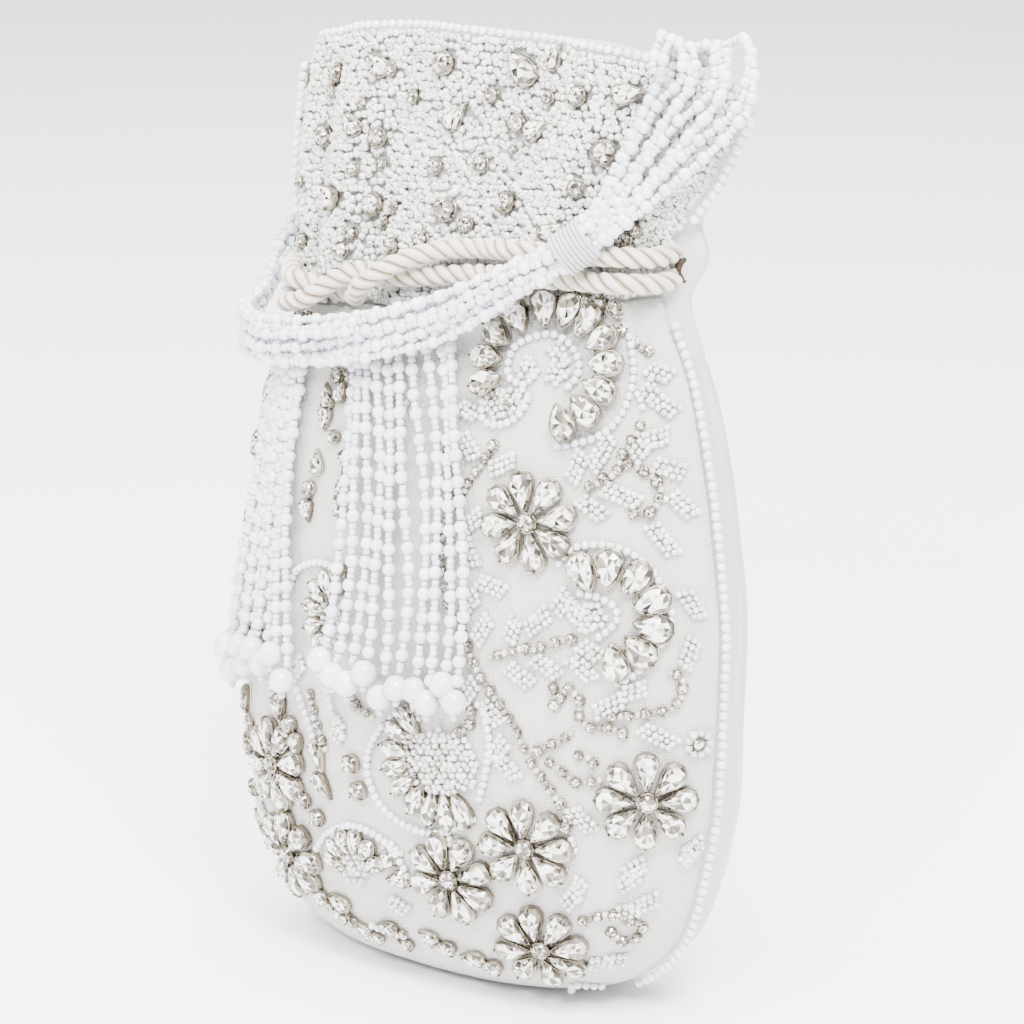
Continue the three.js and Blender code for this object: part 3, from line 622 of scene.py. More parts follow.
cut_stones = facet_material()

# %% [markdown]
# ## Satin pouch
# The real pouch is one layer of satin, sewn at the sides and drawn in at the neck. It could be
# simulated, but its pleats are few and known, so the cloth is a fine mesh straight from on_bag,
# with finer pleats and soft wrinkles added where the drawstring pulls.

# %% Fine pleats that the table leaves out
PLEAT_DEPTH = 0.9
FINE_PLEATS = 31
DRAWN_LEVEL = 0.765
DRAWN_REACH = 0.055
WRINKLES = [
    # level, degrees, depth, tall, wide, slant
    (0.60, 112, 1.3, 0.10, 7, 30),
    (0.62, 96, -1.4, 0.12, 6, 18),
    (0.50, 104, 0.8, 0.14, 7, -14),
    (0.66, 140, 1.0, 0.09, 8, 24),
    (0.62, 215, 1.2, 0.10, 9, -20),
    (0.56, 188, -0.9, 0.12, 10, 10),
    (0.40, 150, 0.7, 0.15, 12, 20),
    (0.30, 230, 0.8, 0.14, 12, -18),
    (0.22, 100, 0.7, 0.12, 8, -22),
    (0.766, 91, 7.5, 0.036, 9.5, 0),
    (0.70, 88, 2.2, 0.030, 7, 0),
    (0.655, 86, -1.5, 0.022, 8, 0),
    (0.60, 92, 2.0, 0.07, 5, 8),
    (0.52, 98, -2.0, 0.16, 5, 5),
    (0.47, 90, 1.2, 0.10, 4, -5),
    (0.35, 95, -1.4, 0.14, 5, -6),
]


def pleats(level, degrees):
    """Extra depth of the satin: sharp pleats at the drawn neck and a few wrinkles below."""
    pulled = np.exp(-((level - DRAWN_LEVEL) / DRAWN_REACH) ** 2)
    around = np.radians(degrees)
    fine = pulled * PLEAT_DEPTH * np.cos(around * FINE_PLEATS + 3 * np.sin(around * 4))
    total = -np.abs(fine)
    for at, turned_to, depth, tall, wide, slant in WRINKLES:
        along = (level - at) / tall
        across = (degrees % 360 - turned_to - slant * (level - at) / tall * 0.5) / wide
        total = total + depth * np.exp(-along ** 2 - across ** 2)
    return total


def grid_faces(rows, columns, closed, looped=False):
    """Quads over a grid of points, row by row; closed joins the last column to the first, and
    looped the last row to the first."""
    k = np.arange(columns if closed else columns - 1)
    r = np.arange(rows if looped else rows - 1)[:, None]
    a = r * columns + k
    b = r * columns + (k + 1) % columns
    return np.stack([a, b, b + columns, a + columns], axis=-1).reshape(-1, 4) % (rows * columns)


def cloth_map(points, closed):
    """Millimetres across and up, measured on a grid of points (rows, columns, 3)."""
    across = np.linalg.norm(np.diff(points, axis=1), axis=2)
    across = np.concatenate([np.zeros((len(points), 1)), np.cumsum(across, axis=1)], axis=1)
    across = np.broadcast_to(across[len(points) // 2], across.shape)
    up = np.linalg.norm(np.diff(points, axis=0), axis=2)
    up = np.concatenate([np.zeros((1, points.shape[1])), np.cumsum(up, axis=0)], axis=0)
    return np.stack([across, np.broadcast_to(up.mean(axis=1, keepdims=True), up.shape)], axis=-1)


# %% Satin pouch, outside and inside
POUCH_COLUMNS = 230
around = np.linspace(0, 360, POUCH_COLUMNS, endpoint=False)
outer_levels = np.concatenate([np.linspace(0, 0.09, 16)[:-1], np.linspace(0.09, 0.99, 120)])
lip_turns = np.linspace(0, math.pi, 6)
inner_levels = np.linspace(0.985, 0.02, 24)
rings = []
for level in outer_levels:
    under_beads = 0.15 + 0.85 * np.clip((np.abs((around + 180) % 360 - 180) - SEAM_DEGREES - 2) / 7, 0, 1)
    base = min(1.0, level / 0.05)
    rings.append(on_bag(level, around, under_beads * base * pleats(level, around)))
for lip in lip_turns:
    level = 0.99 + 0.01 * math.sin(lip)
    rings.append(on_bag(level, around, SATIN_WALL / 2 * (math.cos(lip) - 1)))
for level in inner_levels:
    rings.append(on_bag(level, around, -SATIN_WALL))
pouch_points = np.stack(rings)
pouch_map = cloth_map(pouch_points, True)
satin = Parts()
rows = len(rings)
flat_points = pouch_points.reshape(-1, 3)
middle_low = pouch_points[0].mean(axis=0)
middle_in = pouch_points[-1].mean(axis=0)
all_points = np.vstack([flat_points, middle_low, middle_in])
all_map = np.vstack([pouch_map.reshape(-1, 2), [0, 0], [0, 0]])
k = np.arange(POUCH_COLUMNS)
low, high = len(flat_points), len(flat_points) + 1
base_fan = np.stack([(k + 1) % POUCH_COLUMNS, k, np.full(POUCH_COLUMNS, low)], axis=-1)
last_row = (rows - 1) * POUCH_COLUMNS
inner_fan = np.stack([last_row + k, last_row + (k + 1) % POUCH_COLUMNS, np.full(POUCH_COLUMNS, high)], axis=-1)
satin.add(all_points, [grid_faces(rows, POUCH_COLUMNS, True), base_fan, inner_fan], 0.4, flat_map=all_map)
pouch = satin.piece("satin_pouch_cloth", [satin_cloth], "satin", "satin_pouch")

# %% [markdown]
# ## Embroidered net
# A fine net lies on the satin over the whole front and is sewn in at the side seams. Its threads
# run up and down. It is a thin closed sheet, so that it has an edge where it ends.

# %% Net over the front
NET_COLUMNS = 120
front_degrees = np.linspace(-SEAM_DEGREES, SEAM_DEGREES, NET_COLUMNS)
net_levels = np.concatenate([np.linspace(NET_BOTTOM, 0.09, 14)[:-1], np.linspace(0.09, NET_TOP, 90)])


def front_sheet(levels, columns, near, far, ripple=0.0):
    """Closed sheet over the front between two distances from the satin."""
    level_grid, degree_grid = np.meshgrid(levels, columns, indexing="ij")
    wave = np.sin(degree_grid * 0.9 + 40 * level_grid) * np.sin(degree_grid * 0.23) * np.sin(17 * level_grid)
    wave = ripple * wave
    far_skin = on_bag(level_grid, degree_grid, far + wave)
    near_skin = on_bag(level_grid, degree_grid, near)
    count = len(levels) * len(columns)
    points = np.vstack([far_skin.reshape(-1, 3), near_skin.reshape(-1, 3)])
    one = grid_faces(len(levels), len(columns), False)
    edge = np.concatenate([
        np.arange(len(columns)),
        np.arange(1, len(levels)) * len(columns) + len(columns) - 1,
        (len(levels) - 1) * len(columns) + np.arange(len(columns) - 2, -1, -1),
        np.arange(len(levels) - 2, 0, -1) * len(columns),
    ])
    after = np.roll(edge, -1)
    rim = np.stack([after, edge, edge + count, after + count], axis=-1)
    flat = cloth_map(far_skin, False).reshape(-1, 2)
    return points, np.vstack([one, one[:, ::-1] + count, rim]), np.vstack([flat, flat])


net_points, net_faces, net_map = front_sheet(net_levels, front_degrees, CLEARANCE, NET_FACE - 0.3, ripple=0.25)
net = Parts()
net.add(net_points, [net_faces], 0.4, flat_map=net_map)
net_piece = net.piece("net_over_front", [net_cloth], "net", "net_overlay")

# %% [markdown]
# ## Cut stones in silver cups
# Each stone is foiled glass with a flat table and facets round it, held in a small silver cup
# with prongs. Real glass with real reflections needs many samples to look clean, so the facets
# are real geometry and each has its own tone, a painted reflection from nearly black to white.
# Round stones and pears come from one outline: a circle whose sides are pinched towards one end.

# %% Outline and facets of one stone
def outline(length, width, taper, widest, sides, share=1.0, half_step=False):
    """Corners round a stone with its tip towards +y; taper 0 gives an ellipse."""
    angle = 2 * np.pi * (np.arange(sides) + (0.5 if half_step else 0.0)) / sides
    pinch = ((1 - np.cos(angle)) / 2) ** taper / widest
    return share * np.stack([width / 2 * np.sin(angle) * pinch, length / 2 * np.cos(angle)], axis=-1)


def stone_shape(length, width, taper, widest, sides):
    """Points and triangles of a stone of height 1, table up."""
    def ring(share, height, half_step=False):
        flat = outline(length, width, taper, widest, sides, share, half_step)
        return np.column_stack([flat, np.full(sides, height)])

    rows = [ring(0.96, 0.0), ring(1.0, 0.42), ring(0.84, 0.78, True), ring(0.56, 1.0)]
    points = np.vstack(rows + [np.array([[0, -0.04 * length * (taper > 0), 0.96]]), np.array([[0, 0, 0.0]])])
    faces = []
    for k in range(sides):
        n = (k + 1) % sides
        faces += [(k, k + sides, n), (n, k + sides, n + sides)]
        faces += [(k + sides, k + 2 * sides, n + sides), (k + 2 * sides, n + 2 * sides, n + sides)]
        faces += [(k + 2 * sides, k + 3 * sides, n + 3 * sides)]
        faces += [(k + 2 * sides, n + 3 * sides, n + 2 * sides)]
        faces += [(k + 3 * sides, 4 * sides, n + 3 * sides), (k, n, 4 * sides + 1)]
    return points, np.array(faces)


def fixed_winding(points, faces):
    """Turns each triangle so that it looks away from the middle of the shape."""
    middle = points.mean(axis=0)
    a, b, c = (points[faces[:, j]] for j in range(3))
    inward = np.sum(np.cross(b - a, c - a) * ((a + b + c) / 3 - middle), axis=1) < 0
    faces = faces.copy()
    faces[inward] = faces[inward][:, ::-1]
    return faces


def cup_shape(length, width, taper, widest, sides, wall, height):
    """Band of silver round a stone: outside, lip and inside."""
    grow = np.array([width + 2 * wall, length + 2 * wall]) / np.array([width, length])
    base = outline(length, width, taper, widest, sides)
    rows = []
    steps = [
        (grow * 0.97, 0.0), (grow, height * 0.7), (grow * 0.99, height),
        ((1 + grow) / 2, height * 1.08), (np.ones(2) * 0.9, height * 0.9), (np.ones(2) * 0.85, 0.0),
    ]
    for share, z in steps:
        rows.append(np.column_stack([base * share, np.full(sides, z)]))
    points = np.vstack(rows)
    k = np.arange(sides)
    n = (k + 1) % sides
    faces = []
    for r in range(len(rows)):
        after = (r + 1) % len(rows)
        faces.append(np.stack([k + r * sides, k + after * sides, n + after * sides, n + r * sides], axis=-1))
    return points, np.vstack(faces)


# %% One stone in its cup on the cloth
PEAR = (0.8, 0.69)
ROW_PEAR = (0.35, 0.79)
ROUND = (0.0, 1.0)
PRONG_REACH = 0.42
MANY_FACETS, FEW_FACETS, LARGE_STONE = 12, 8, 4
CUP_WALL, SMALL_CUP_WALL, SMALL_STONE = 0.22, 0.16, 3
STONE_RISE = 0.5
STONE_LIFT = 0.25
# Facet tones are painted reflections: random tones over the facets, lower for round stones, and now and then a
# black table.
REFLECTION_TONE_FLOOR = 0.08
REFLECTION_TONE_SPREAD = [0.4, 0.4, 0.62, 0.62, 1.0, 1.0, 1.0, 0.1]
REFLECTION_TONE_LIFT = [0, 0, 0.4, 0.4, 1.0, 1.0, 1.6, 0]
ROUND_REFLECTION_TONE = 0.72
DARK_TABLE_REFLECTION_CHANCE = 0.4


def add_stone(parts, place, across, up, away, length, width, cut=ROUND, turn_by=0.0, prongs=4):
    """Adds a stone with its cup; turn_by turns it on the cloth, its tip from up towards -across."""
    c, s = math.cos(math.radians(turn_by)), math.sin(math.radians(turn_by))
    x_axis, y_axis = across * c + up * s, up * c - across * s
    taper, widest = cut
    sides = MANY_FACETS if max(length, width) > LARGE_STONE else FEW_FACETS
    points, faces = stone_shape(length, width, taper, widest, sides)
    height = width * STONE_RISE
    points = points * np.array([1, 1, height]) + np.array([0, 0, STONE_LIFT])
    faces = fixed_winding(points, faces)
    matrix = np.stack([x_axis, y_axis, away])
    # Painted reflections: each facet gets a tone that the ramp of cut_stones turns into a colour from nearly
    # black to white.
    tone = chance.random(len(faces)) * np.tile(REFLECTION_TONE_SPREAD, sides) + REFLECTION_TONE_FLOOR * np.tile(REFLECTION_TONE_LIFT, sides)
    if cut == ROUND:
        tone = tone * ROUND_REFLECTION_TONE
    if chance.random() < DARK_TABLE_REFLECTION_CHANCE:
        tone[8 * chance.integers(sides) + 6] = 0.0
    parts.add(points @ matrix + place, [faces], tone[None], 0, smooth=False)
    wall = CUP_WALL if width > SMALL_STONE else SMALL_CUP_WALL
    ring_points, ring_faces = cup_shape(length, width, taper, widest, sides, wall, height * 0.55)
    parts.add(ring_points @ matrix + place, [ring_faces], chance.random(), 1)
    rim = outline(length + 2 * wall, width + 2 * wall, taper, widest, 4 * 24)
    for k in range(prongs):
        corner = rim[int((k + 0.5) * len(rim) / prongs) % len(rim)]
        outward = corner / max(np.linalg.norm(corner), 1e-6)
        beside = np.array([-outward[1], outward[0]]) * 0.28
        inner = corner - outward * PRONG_REACH * (0.6 + 0.1 * width)
        tops = [corner - beside, corner + beside, inner + beside * 0.7, inner - beside * 0.7]
        lows = np.column_stack([tops, height * np.array([0.3, 0.3, 0.62, 0.62])])
        highs = np.column_stack([tops, height * np.array([0.62, 0.62, 0.98, 0.98])])
        claw = np.vstack([lows, highs])
        sides_of = [(0, 1, 5, 4), (1, 2, 6, 5), (2, 3, 7, 6), (3, 0, 4, 7), (4, 5, 6, 7), (3, 2, 1, 0)]
        parts.add(claw @ matrix + place, [sides_of], chance.random(), 1, smooth=False)


def patch_places(level, degrees, flat):
    """Level and degrees of flat millimetres (u, v) laid on the cloth round one place."""
    origin = on_bag(level, degrees)
    across, up, _ = frame_at(level, degrees)
    flat = np.asarray(flat, float)
    a, b = np.full(len(flat), float(level)), np.full(len(flat), float(degrees))

    def on_plane(a, b):
        gap = on_bag(a, b) - origin
        return np.stack([gap @ across, gap @ up], axis=-1)

    for _ in range(8):
        here = on_plane(a, b)
        by_a = (on_plane(a + LEVEL_STEP, b) - here) / LEVEL_STEP
        by_b = (on_plane(a, b + DEGREE_STEP) - here) / DEGREE_STEP
        d_a, d_b = small_moves(flat - here, by_a, by_b)
        a, b = np.clip(a + d_a, 0.004, 1), b + d_b
    return a, b


# %% [markdown]
# ## Flowers
# Eight pears stand tip inwards round a round stone. The frame gives each flower's place and turn;
# the pears are laid on the cloth one by one, so that a flower bends with it.

# %% Flowers of pear stones
FLOWERS = [
    # name, level, degrees, turn
    ("flower_middle", 0.534, 23.0, 12),
    ("flower_right", 0.258, 54.0, 0),
    ("flower_low_centre", 0.196, 25.0, 4),
    ("flower_low_left", 0.1445, 8.5, 20),
    ("flower_base", 0.080, 31.0, 10),
    ("flower_side_upper", 0.214, -37.0, 16),
    ("flower_side_lower", 0.112, -36.0, 2),
]
PETAL_LENGTH = 10.8
PETAL_WIDTH = 6.7
PETAL_RING = 7.8
FLOWER_CENTRE = 5.2
stone_centres = []


def lay_stones(parts, level, degrees, flat, turns, length, width, cut, seat, **more):
    """Stones at flat places round one place of the cloth, each turned by its own angle."""
    levels, angles = patch_places(level, degrees, flat)
    main_across = frame_at(level, degrees)[0]
    for a, b, turn_by in zip(levels, angles, turns):
        _, _, away = frame_at(a, b)
        across = unit(main_across - away * np.dot(main_across, away))
        up = np.cross(away, across)
        place = on_bag(a, b, seat)
        stone_centres.append((place, width / 2))
        add_stone(parts, place, across, up, away, length, width, cut, turn_by, **more)


for name, level, degrees, first_turn in FLOWERS:
    flower = Parts()
    petal_angles = first_turn + 45.0 * np.arange(8)
    ring_places = PETAL_RING * circle(np.radians(petal_angles))
    lay_stones(flower, level, degrees, ring_places, petal_angles + 90,
               PETAL_LENGTH, PETAL_WIDTH, PEAR, STONE_SEAT, prongs=3)
    lay_stones(flower, level, degrees, [(0, 0)], [first_turn],
               FLOWER_CENTRE, FLOWER_CENTRE, ROUND, STONE_SEAT + 1.0, prongs=4)
    flower.piece("stones_" + name, [cut_stones, silver_cup], "crystal", name)

# %% [markdown]
# ## Rows of pears
# The paisleys are hooks of pear stones that stand side by side like the keys of a fan, their tips
# towards the middle.

# %% Rows of pear stones
ROWS = [
    # name, level, degrees, radius, first angle, last angle, stones, their length, seat
    ("paisley_top", 0.680, 28.5, 15.0, -77, 187, 12, 10.2, STONE_SEAT + 2.0),
    ("paisley_middle", 0.449, 41.0, 12.3, -76, 118, 7, 10.8, STONE_SEAT),
    ("paisley_low", 0.272, 5.5, 13.9, 136, 300, 9, 10.4, STONE_SEAT),
    ("arch_low", 0.127, -12, 7.6, 20, 178, 6, 7.8, STONE_SEAT),
    ("fan_side", 0.399, -15, 10.6, 98, 226, 6, 8.6, STONE_SEAT),
]
for name, level, degrees, radius, first, last, stones, length, seat in ROWS:
    row = Parts()
    angles = np.linspace(first, last, stones)
    places = radius * circle(np.radians(angles))
    widest_ring = radius + 0.18 * length
    width = 2 * widest_ring * math.sin(math.radians((last - first) / (stones - 1) / 2)) * 0.92
    lay_stones(row, level, degrees, places, angles + 90, length, width, ROW_PEAR, seat, prongs=3)
    row.piece("stones_" + name, [cut_stones, silver_cup], "crystal", name)

# %% [markdown]
# ## Single stones
# Between the flowers lie single round stones and pears, and the neck is strewn with them. Each
# was placed in the photograph, so a row holds its pixel and its real size.

# %% Stones strewn over the yoke
YOKE_STONES = [
    # across px, down px, length, width, turn (round stones have no length)
    (340, 73, 0, 5.4, 0), (335, 91, 0, 3.6, 0), (391, 69, 0, 4.0, 0), (446, 64, 0, 6.2, 0),
    (415, 97, 0, 4.0, 0), (494, 95, 0, 4.0, 0), (366, 103, 0, 2.8, 0), (299, 119, 0, 3.2, 0),
    (327, 136, 0, 5.6, 0), (383, 137, 0, 5.2, 0), (385, 164, 0, 3.2, 0), (359, 168, 0, 3.6, 0),
    (295, 185, 0, 3.2, 0), (377, 205, 0, 6.0, 0), (396, 208, 0, 3.2, 0), (386, 223, 0, 3.6, 0),
    (357, 233, 0, 4.0, 0), (303, 241, 0, 4.0, 0), (393, 249, 0, 5.6, 0), (421, 240, 0, 4.6, 0),
    (435, 167, 0, 4.2, 0), (481, 164, 0, 4.2, 0), (446, 210, 0, 6.2, 0), (468, 225, 0, 4.2, 0),
    (511, 202, 0, 5.8, 0), (551, 98, 0, 3.6, 0), (580, 97, 0, 5.2, 0), (604, 152, 0, 6.6, 0),
    (577, 188, 0, 4.6, 0), (518, 124, 0, 5.0, 0), (513, 150, 0, 2.4, 0), (619, 243, 0, 3.0, 0),
    (636, 231, 0, 3.2, 0), (310, 75, 8.0, 4.6, -25), (379, 63, 8.2, 5.4, 40), (458, 116, 9.4, 5.0, -40),
    (356, 122, 8.2, 5.0, 32), (331, 195, 9.4, 6.0, 55), (523, 66, 11.5, 7.2, 40), (557, 57, 7.4, 4.2, -20),
    (630, 93, 9.6, 5.6, -75), (541, 129, 9.0, 5.6, -65), (553, 230, 8.6, 4.0, -70), (345, 249, 5.4, 3.6, 80),
]


YOKE_FOLDS = [
    # start px, end px, height, half width in millimetres
    ((478, 238), (572, 128), 2.2, 6.5), ((455, 228), (520, 140), -0.9, 4.5),
    ((590, 225), (640, 110), 1.4, 6.0), ((352, 240), (376, 120), 1.5, 6.0),
    ((420, 235), (425, 120), -0.6, 5.0),
]
fold_ends = [cloth_places([start, end], 1.2) for start, end, _, _ in YOKE_FOLDS]
FOLD_SCALE = np.array([BAG_HEIGHT, 0.95])


def yoke_fold(levels, angles):
    """How far the beaded yoke stands up where its cloth is folded."""
    here = np.stack(np.broadcast_arrays(levels, angles), axis=-1) * FOLD_SCALE
    total = np.zeros(here.shape[:-1])
    for (end_levels, end_angles), (_, _, height, half_width) in zip(fold_ends, YOKE_FOLDS):
        start, end = np.stack([end_levels, end_angles], axis=-1) * FOLD_SCALE
        way = end - start
        share = np.clip(((here - start) @ way) / (way @ way), 0, 1)
        gap = np.linalg.norm(here - start - share[..., None] * way, axis=-1)
        total = total + height * np.exp(-(gap / half_width) ** 2)
    return total


def add_photo_stones(parts, rows, seat, folded=False):
    """Stones at pixels of the photograph; a length of 0 is a round stone."""
    levels, angles = cloth_places([row[:2] for row in rows], seat)
    for (_, _, length, width, turn_by), a, b in zip(rows, levels, angles):
        across, up, away = frame_at(a, b)
        place = on_bag(a, b, seat + (yoke_fold(a, b) if folded else 0))
        if length:
            tip_way = up * math.cos(math.radians(turn_by)) - across * math.sin(math.radians(turn_by))
            stone_centres.append((place - tip_way * 0.2 * length, 0.48 * width))
            stone_centres.append((place + tip_way * 0.2 * length, 0.3 * width))
        else:
            stone_centres.append((place, width / 2))
        cut = PEAR if length else ROUND
        add_stone(parts, place, across, up, away, length or width, width, cut, turn_by)


yoke_stones = Parts()
add_photo_stones(yoke_stones, YOKE_STONES, YOKE_FACE - 0.5, folded=True)
yoke_stones.piece("stones_yoke", [cut_stones, silver_cup], "crystal")

# %% [markdown]
# ## Seed bead crust
# The neck is covered with small white glass beads, sewn side by side in no order, their holes
# every way. A loose grid laid on the cloth, pushed about at random and left out under the
# stones, gives that. It is too many beads for hand work and too flat for a bump.

# %% Seed beads of the yoke
SEED = 2.0
SEED_STEP = 1.72
SEED_SHIFT = 0.48
STONE_ROOM = 0.5
crust_places, crust_axes = [], []
centres = np.array([place for place, _ in stone_centres])
reaches = np.array([reach for _, reach in stone_centres])
level = YOKE_BOTTOM + 0.003
row_number = 0
while level < 0.9985:
    fine = np.linspace(-SEAM_DEGREES + 0.5, SEAM_DEGREES - 0.5, 900)
    line = on_bag(level, fine, 1.2)
    lengths = running_length(line)
    stops = np.arange(0.5 + 0.9 * (row_number % 2), lengths[-1] - 0.4, SEED_STEP * 1.06)
    stops = stops + chance.uniform(-SEED_SHIFT, SEED_SHIFT, len(stops))
    degrees = np.interp(stops, lengths, fine)
    levels = level + chance.uniform(-0.0024, 0.0024, len(stops))
    heights = chance.uniform(0.95, 1.5, len(stops)) + np.maximum(yoke_fold(levels, degrees), -0.7)
    crust_places.append(on_bag(levels, degrees, heights))
    across, up, away = frame_at(levels, degrees)
    lean = chance.uniform(0, 2 * np.pi, len(stops))[:, None]
    lift = chance.uniform(0.0, 1.0, len(stops))[:, None] ** 1.5 * 2.2
    crust_axes.append(unit(across * np.cos(lean) + up * np.sin(lean) + away * lift))
    level += SEED_STEP / BAG_HEIGHT / 1.02
    row_number += 1
crust_places, crust_axes = np.vstack(crust_places), np.vstack(crust_axes)
gap = np.linalg.norm(crust_places[:, None] - centres[None], axis=2) - reaches[None]
free = gap.min(axis=1) > STONE_ROOM
crust_places, crust_axes = crust_places[free], crust_axes[free]
print("seed beads of the yoke:", len(crust_places))
right_half = crust_places[:, 0] > 0
crust_size = chance.uniform(0.92, 1.08, len(crust_places)) * SEED
for name, half in (("seed_crust_right", right_half), ("seed_crust_left", ~right_half)):
    crust = Parts()
    add_seeds(crust, crust_places[half], crust_axes[half], crust_size[half])
    crust.piece(name, [seed_glass], "seed_bead", "beaded_yoke")

# %% [markdown]
# ## Strings of beads
# Seams, rim, strap and tassels are all beads on a thread, so one step serves them: measure a
# smooth line through a few chosen points and thread beads on it one after another, large and
# small in turn.

# %% Smooth line and threading
LOOK_AHEAD = 0.4


def smooth_line(points, per_stretch=16, closed=False):
    """Curve through points that keeps to them, as dense points."""
    points = np.asarray(points, float)
    before = np.roll(points, 1, axis=0) if closed else np.vstack([2 * points[0] - points[1], points[:-1]])
    after = np.roll(points, -1, axis=0) if closed else np.vstack([points[1:], 2 * points[-1] - points[-2]])
    tangent = (after - before) / 2
    t = np.linspace(0, 1, per_stretch, endpoint=False)[:, None]
    line = []
    count = len(points) if closed else len(points) - 1
    for i in range(count):
        j = (i + 1) % len(points)
        a, b = 2 * t ** 3 - 3 * t ** 2 + 1, t ** 3 - 2 * t ** 2 + t
        c, d = -2 * t ** 3 + 3 * t ** 2, t ** 3 - t ** 2
        line.append(a * points[i] + b * tangent[i] + c * points[j] + d * tangent[j])
    if not closed:
        line.append(points[-1:])
    return np.vstack(line)


def along_line(line, stops):
    """Places and directions at distances along a line of points."""
    length = running_length(line)

    def place_at(at):
        return np.stack([np.interp(at, length, line[:, j]) for j in range(3)], axis=-1)

    stops = np.clip(stops, 0, length[-1])
    ahead = place_at(np.minimum(stops + LOOK_AHEAD, length[-1]))
    behind = place_at(np.maximum(stops - LOOK_AHEAD, 0))
    return place_at(stops), unit(ahead - behind)


def line_length(line):
    return float(np.linalg.norm(np.diff(line, axis=0), axis=1).sum())


def thread_beads(parts, line, pattern, start=0.0, loose=0.15):
    """Threads beads along a line. Pattern lists (kind, size, room) in turn."""
    total = line_length(line)
    stops = {"pearl": [], "seed": []}
    sizes = {"pearl": [], "seed": []}
    at = start
    k = 0
    while True:
        kind, size, room = pattern[k % len(pattern)]
        if at + room > total:
            break
        stops[kind].append(at + room / 2)
        sizes[kind].append(size)
        at += room
        k += 1
    for kind, add in (("pearl", add_pearls), ("seed", add_seeds)):
        if stops[kind]:
            places, axes = along_line(line, np.array(stops[kind]))
            places = places + chance.uniform(-loose, loose, places.shape)
            if kind == "seed":
                axes = unit(axes + chance.uniform(-0.25, 0.25, axes.shape))
            add(parts, places, axes, np.array(sizes[kind]))
    return at


# %% Seam pearls and rim pearls
SEAM_PEARL = 2.5
seam_pattern = [("pearl", SEAM_PEARL, SEAM_PEARL + 0.12)]
for side, word in ((1, "right"), (-1, "left")):
    for name, bottom, top, face in (
        ("seam_pearls", 0.022, 0.715, NET_FACE), ("yoke_pearls", 0.815, 0.985, YOKE_FACE),
    ):
        levels = np.linspace(bottom, top, 40)
        lift = 1.4 * np.maximum(0, 1 - levels / 0.12)
        line = on_bag(levels, side * SEAM_DEGREES, face + CLEARANCE + SEAM_PEARL / 2 + 0.4 + lift)
        row = Parts()
        thread_beads(row, line, seam_pattern, loose=0.06)
        row.piece(f"{name}_{word}_strung", [pearl_coat], "pearl", f"{name}_{word}")

rim_degrees = np.linspace(-SEAM_DEGREES + 3, SEAM_DEGREES - 3, 120)
rim_line = on_bag(1, rim_degrees, (YOKE_FACE - SATIN_WALL) / 2) + np.array([0, 0, CLEARANCE + SEAM_PEARL / 2])
rim = Parts()
thread_beads(rim, rim_line, seam_pattern, loose=0.06)
rim.piece("rim_pearls_strung", [pearl_coat], "pearl", "rim_pearls")

# %% [markdown]
# ## Embroidery on the net
# The net between the flowers is worked with vines of small round stones and silver lined beads,
# rows of small pearls round the paisleys, packed white seed beads inside them, and little leaves
# of white seed beads in slanting rows of three. All of it lies flat on the net, so each thing is
# placed in the photograph and laid on the cloth from there.

# %% Single stones on the net
NET_STONES = [
    # across px, down px, length, width, turn (round stones have no length)
    (282, 706, 8.0, 5.0, 200), (292, 724, 0, 5.0, 0), (299, 744, 7.0, 4.8, 190), (252, 742, 0, 4.6, 0),
    (320, 755, 9.6, 5.0, 205), (325, 785, 9.0, 4.8, 225), (353, 763, 0, 5.4, 0), (360, 790, 0, 5.4, 0),
    (306, 800, 0, 4.6, 0), (308, 868, 8.0, 5.0, 215), (296, 884, 7.6, 4.8, 225), (252, 800, 0, 4.4, 0),
    (322, 893, 6.8, 4.4, 40), (343, 912, 6.8, 4.4, 60), (366, 928, 6.4, 4.2, 50), (252, 722, 5.6, 4.0, 10),
    (340, 376, 0, 4.6, 0), (354, 377, 0, 4.2, 0), (329, 396, 7.2, 4.2, 10), (343, 392, 6.4, 4.0, -20),
    (327, 419, 6.4, 4.2, 190), (336, 437, 0, 3.8, 0), (319, 462, 7.0, 4.2, 5), (346, 462, 6.4, 4.0, 185),
    (344, 484, 6.0, 4.0, 0), (311, 488, 0, 4.2, 0), (309, 510, 6.4, 4.2, 200), (340, 506, 6.0, 3.8, 30),
    (430, 935, 6.6, 4.4, 60), (447, 945, 6.6, 4.4, 75), (474, 956, 7.6, 4.8, 85), (492, 964, 7.0, 4.6, 80),
    (388, 860, 7.6, 4.8, 125), (399, 877, 7.6, 5.0, 100), (312, 885, 0, 3.8, 0), (334, 905, 0, 3.4, 0),
    (355, 921, 0, 3.4, 0), (378, 935, 5.4, 3.6, 60), (407, 942, 5.2, 3.6, 70),
    (697, 743, 0, 3.4, 0), (566, 826, 0, 3.4, 0), (383, 925, 0, 2.6, 0), (404, 933, 0, 2.6, 0),
]
net_stones = Parts()
add_photo_stones(net_stones, NET_STONES, STONE_SEAT)
net_stones.piece("stones_net", [cut_stones, silver_cup], "crystal")

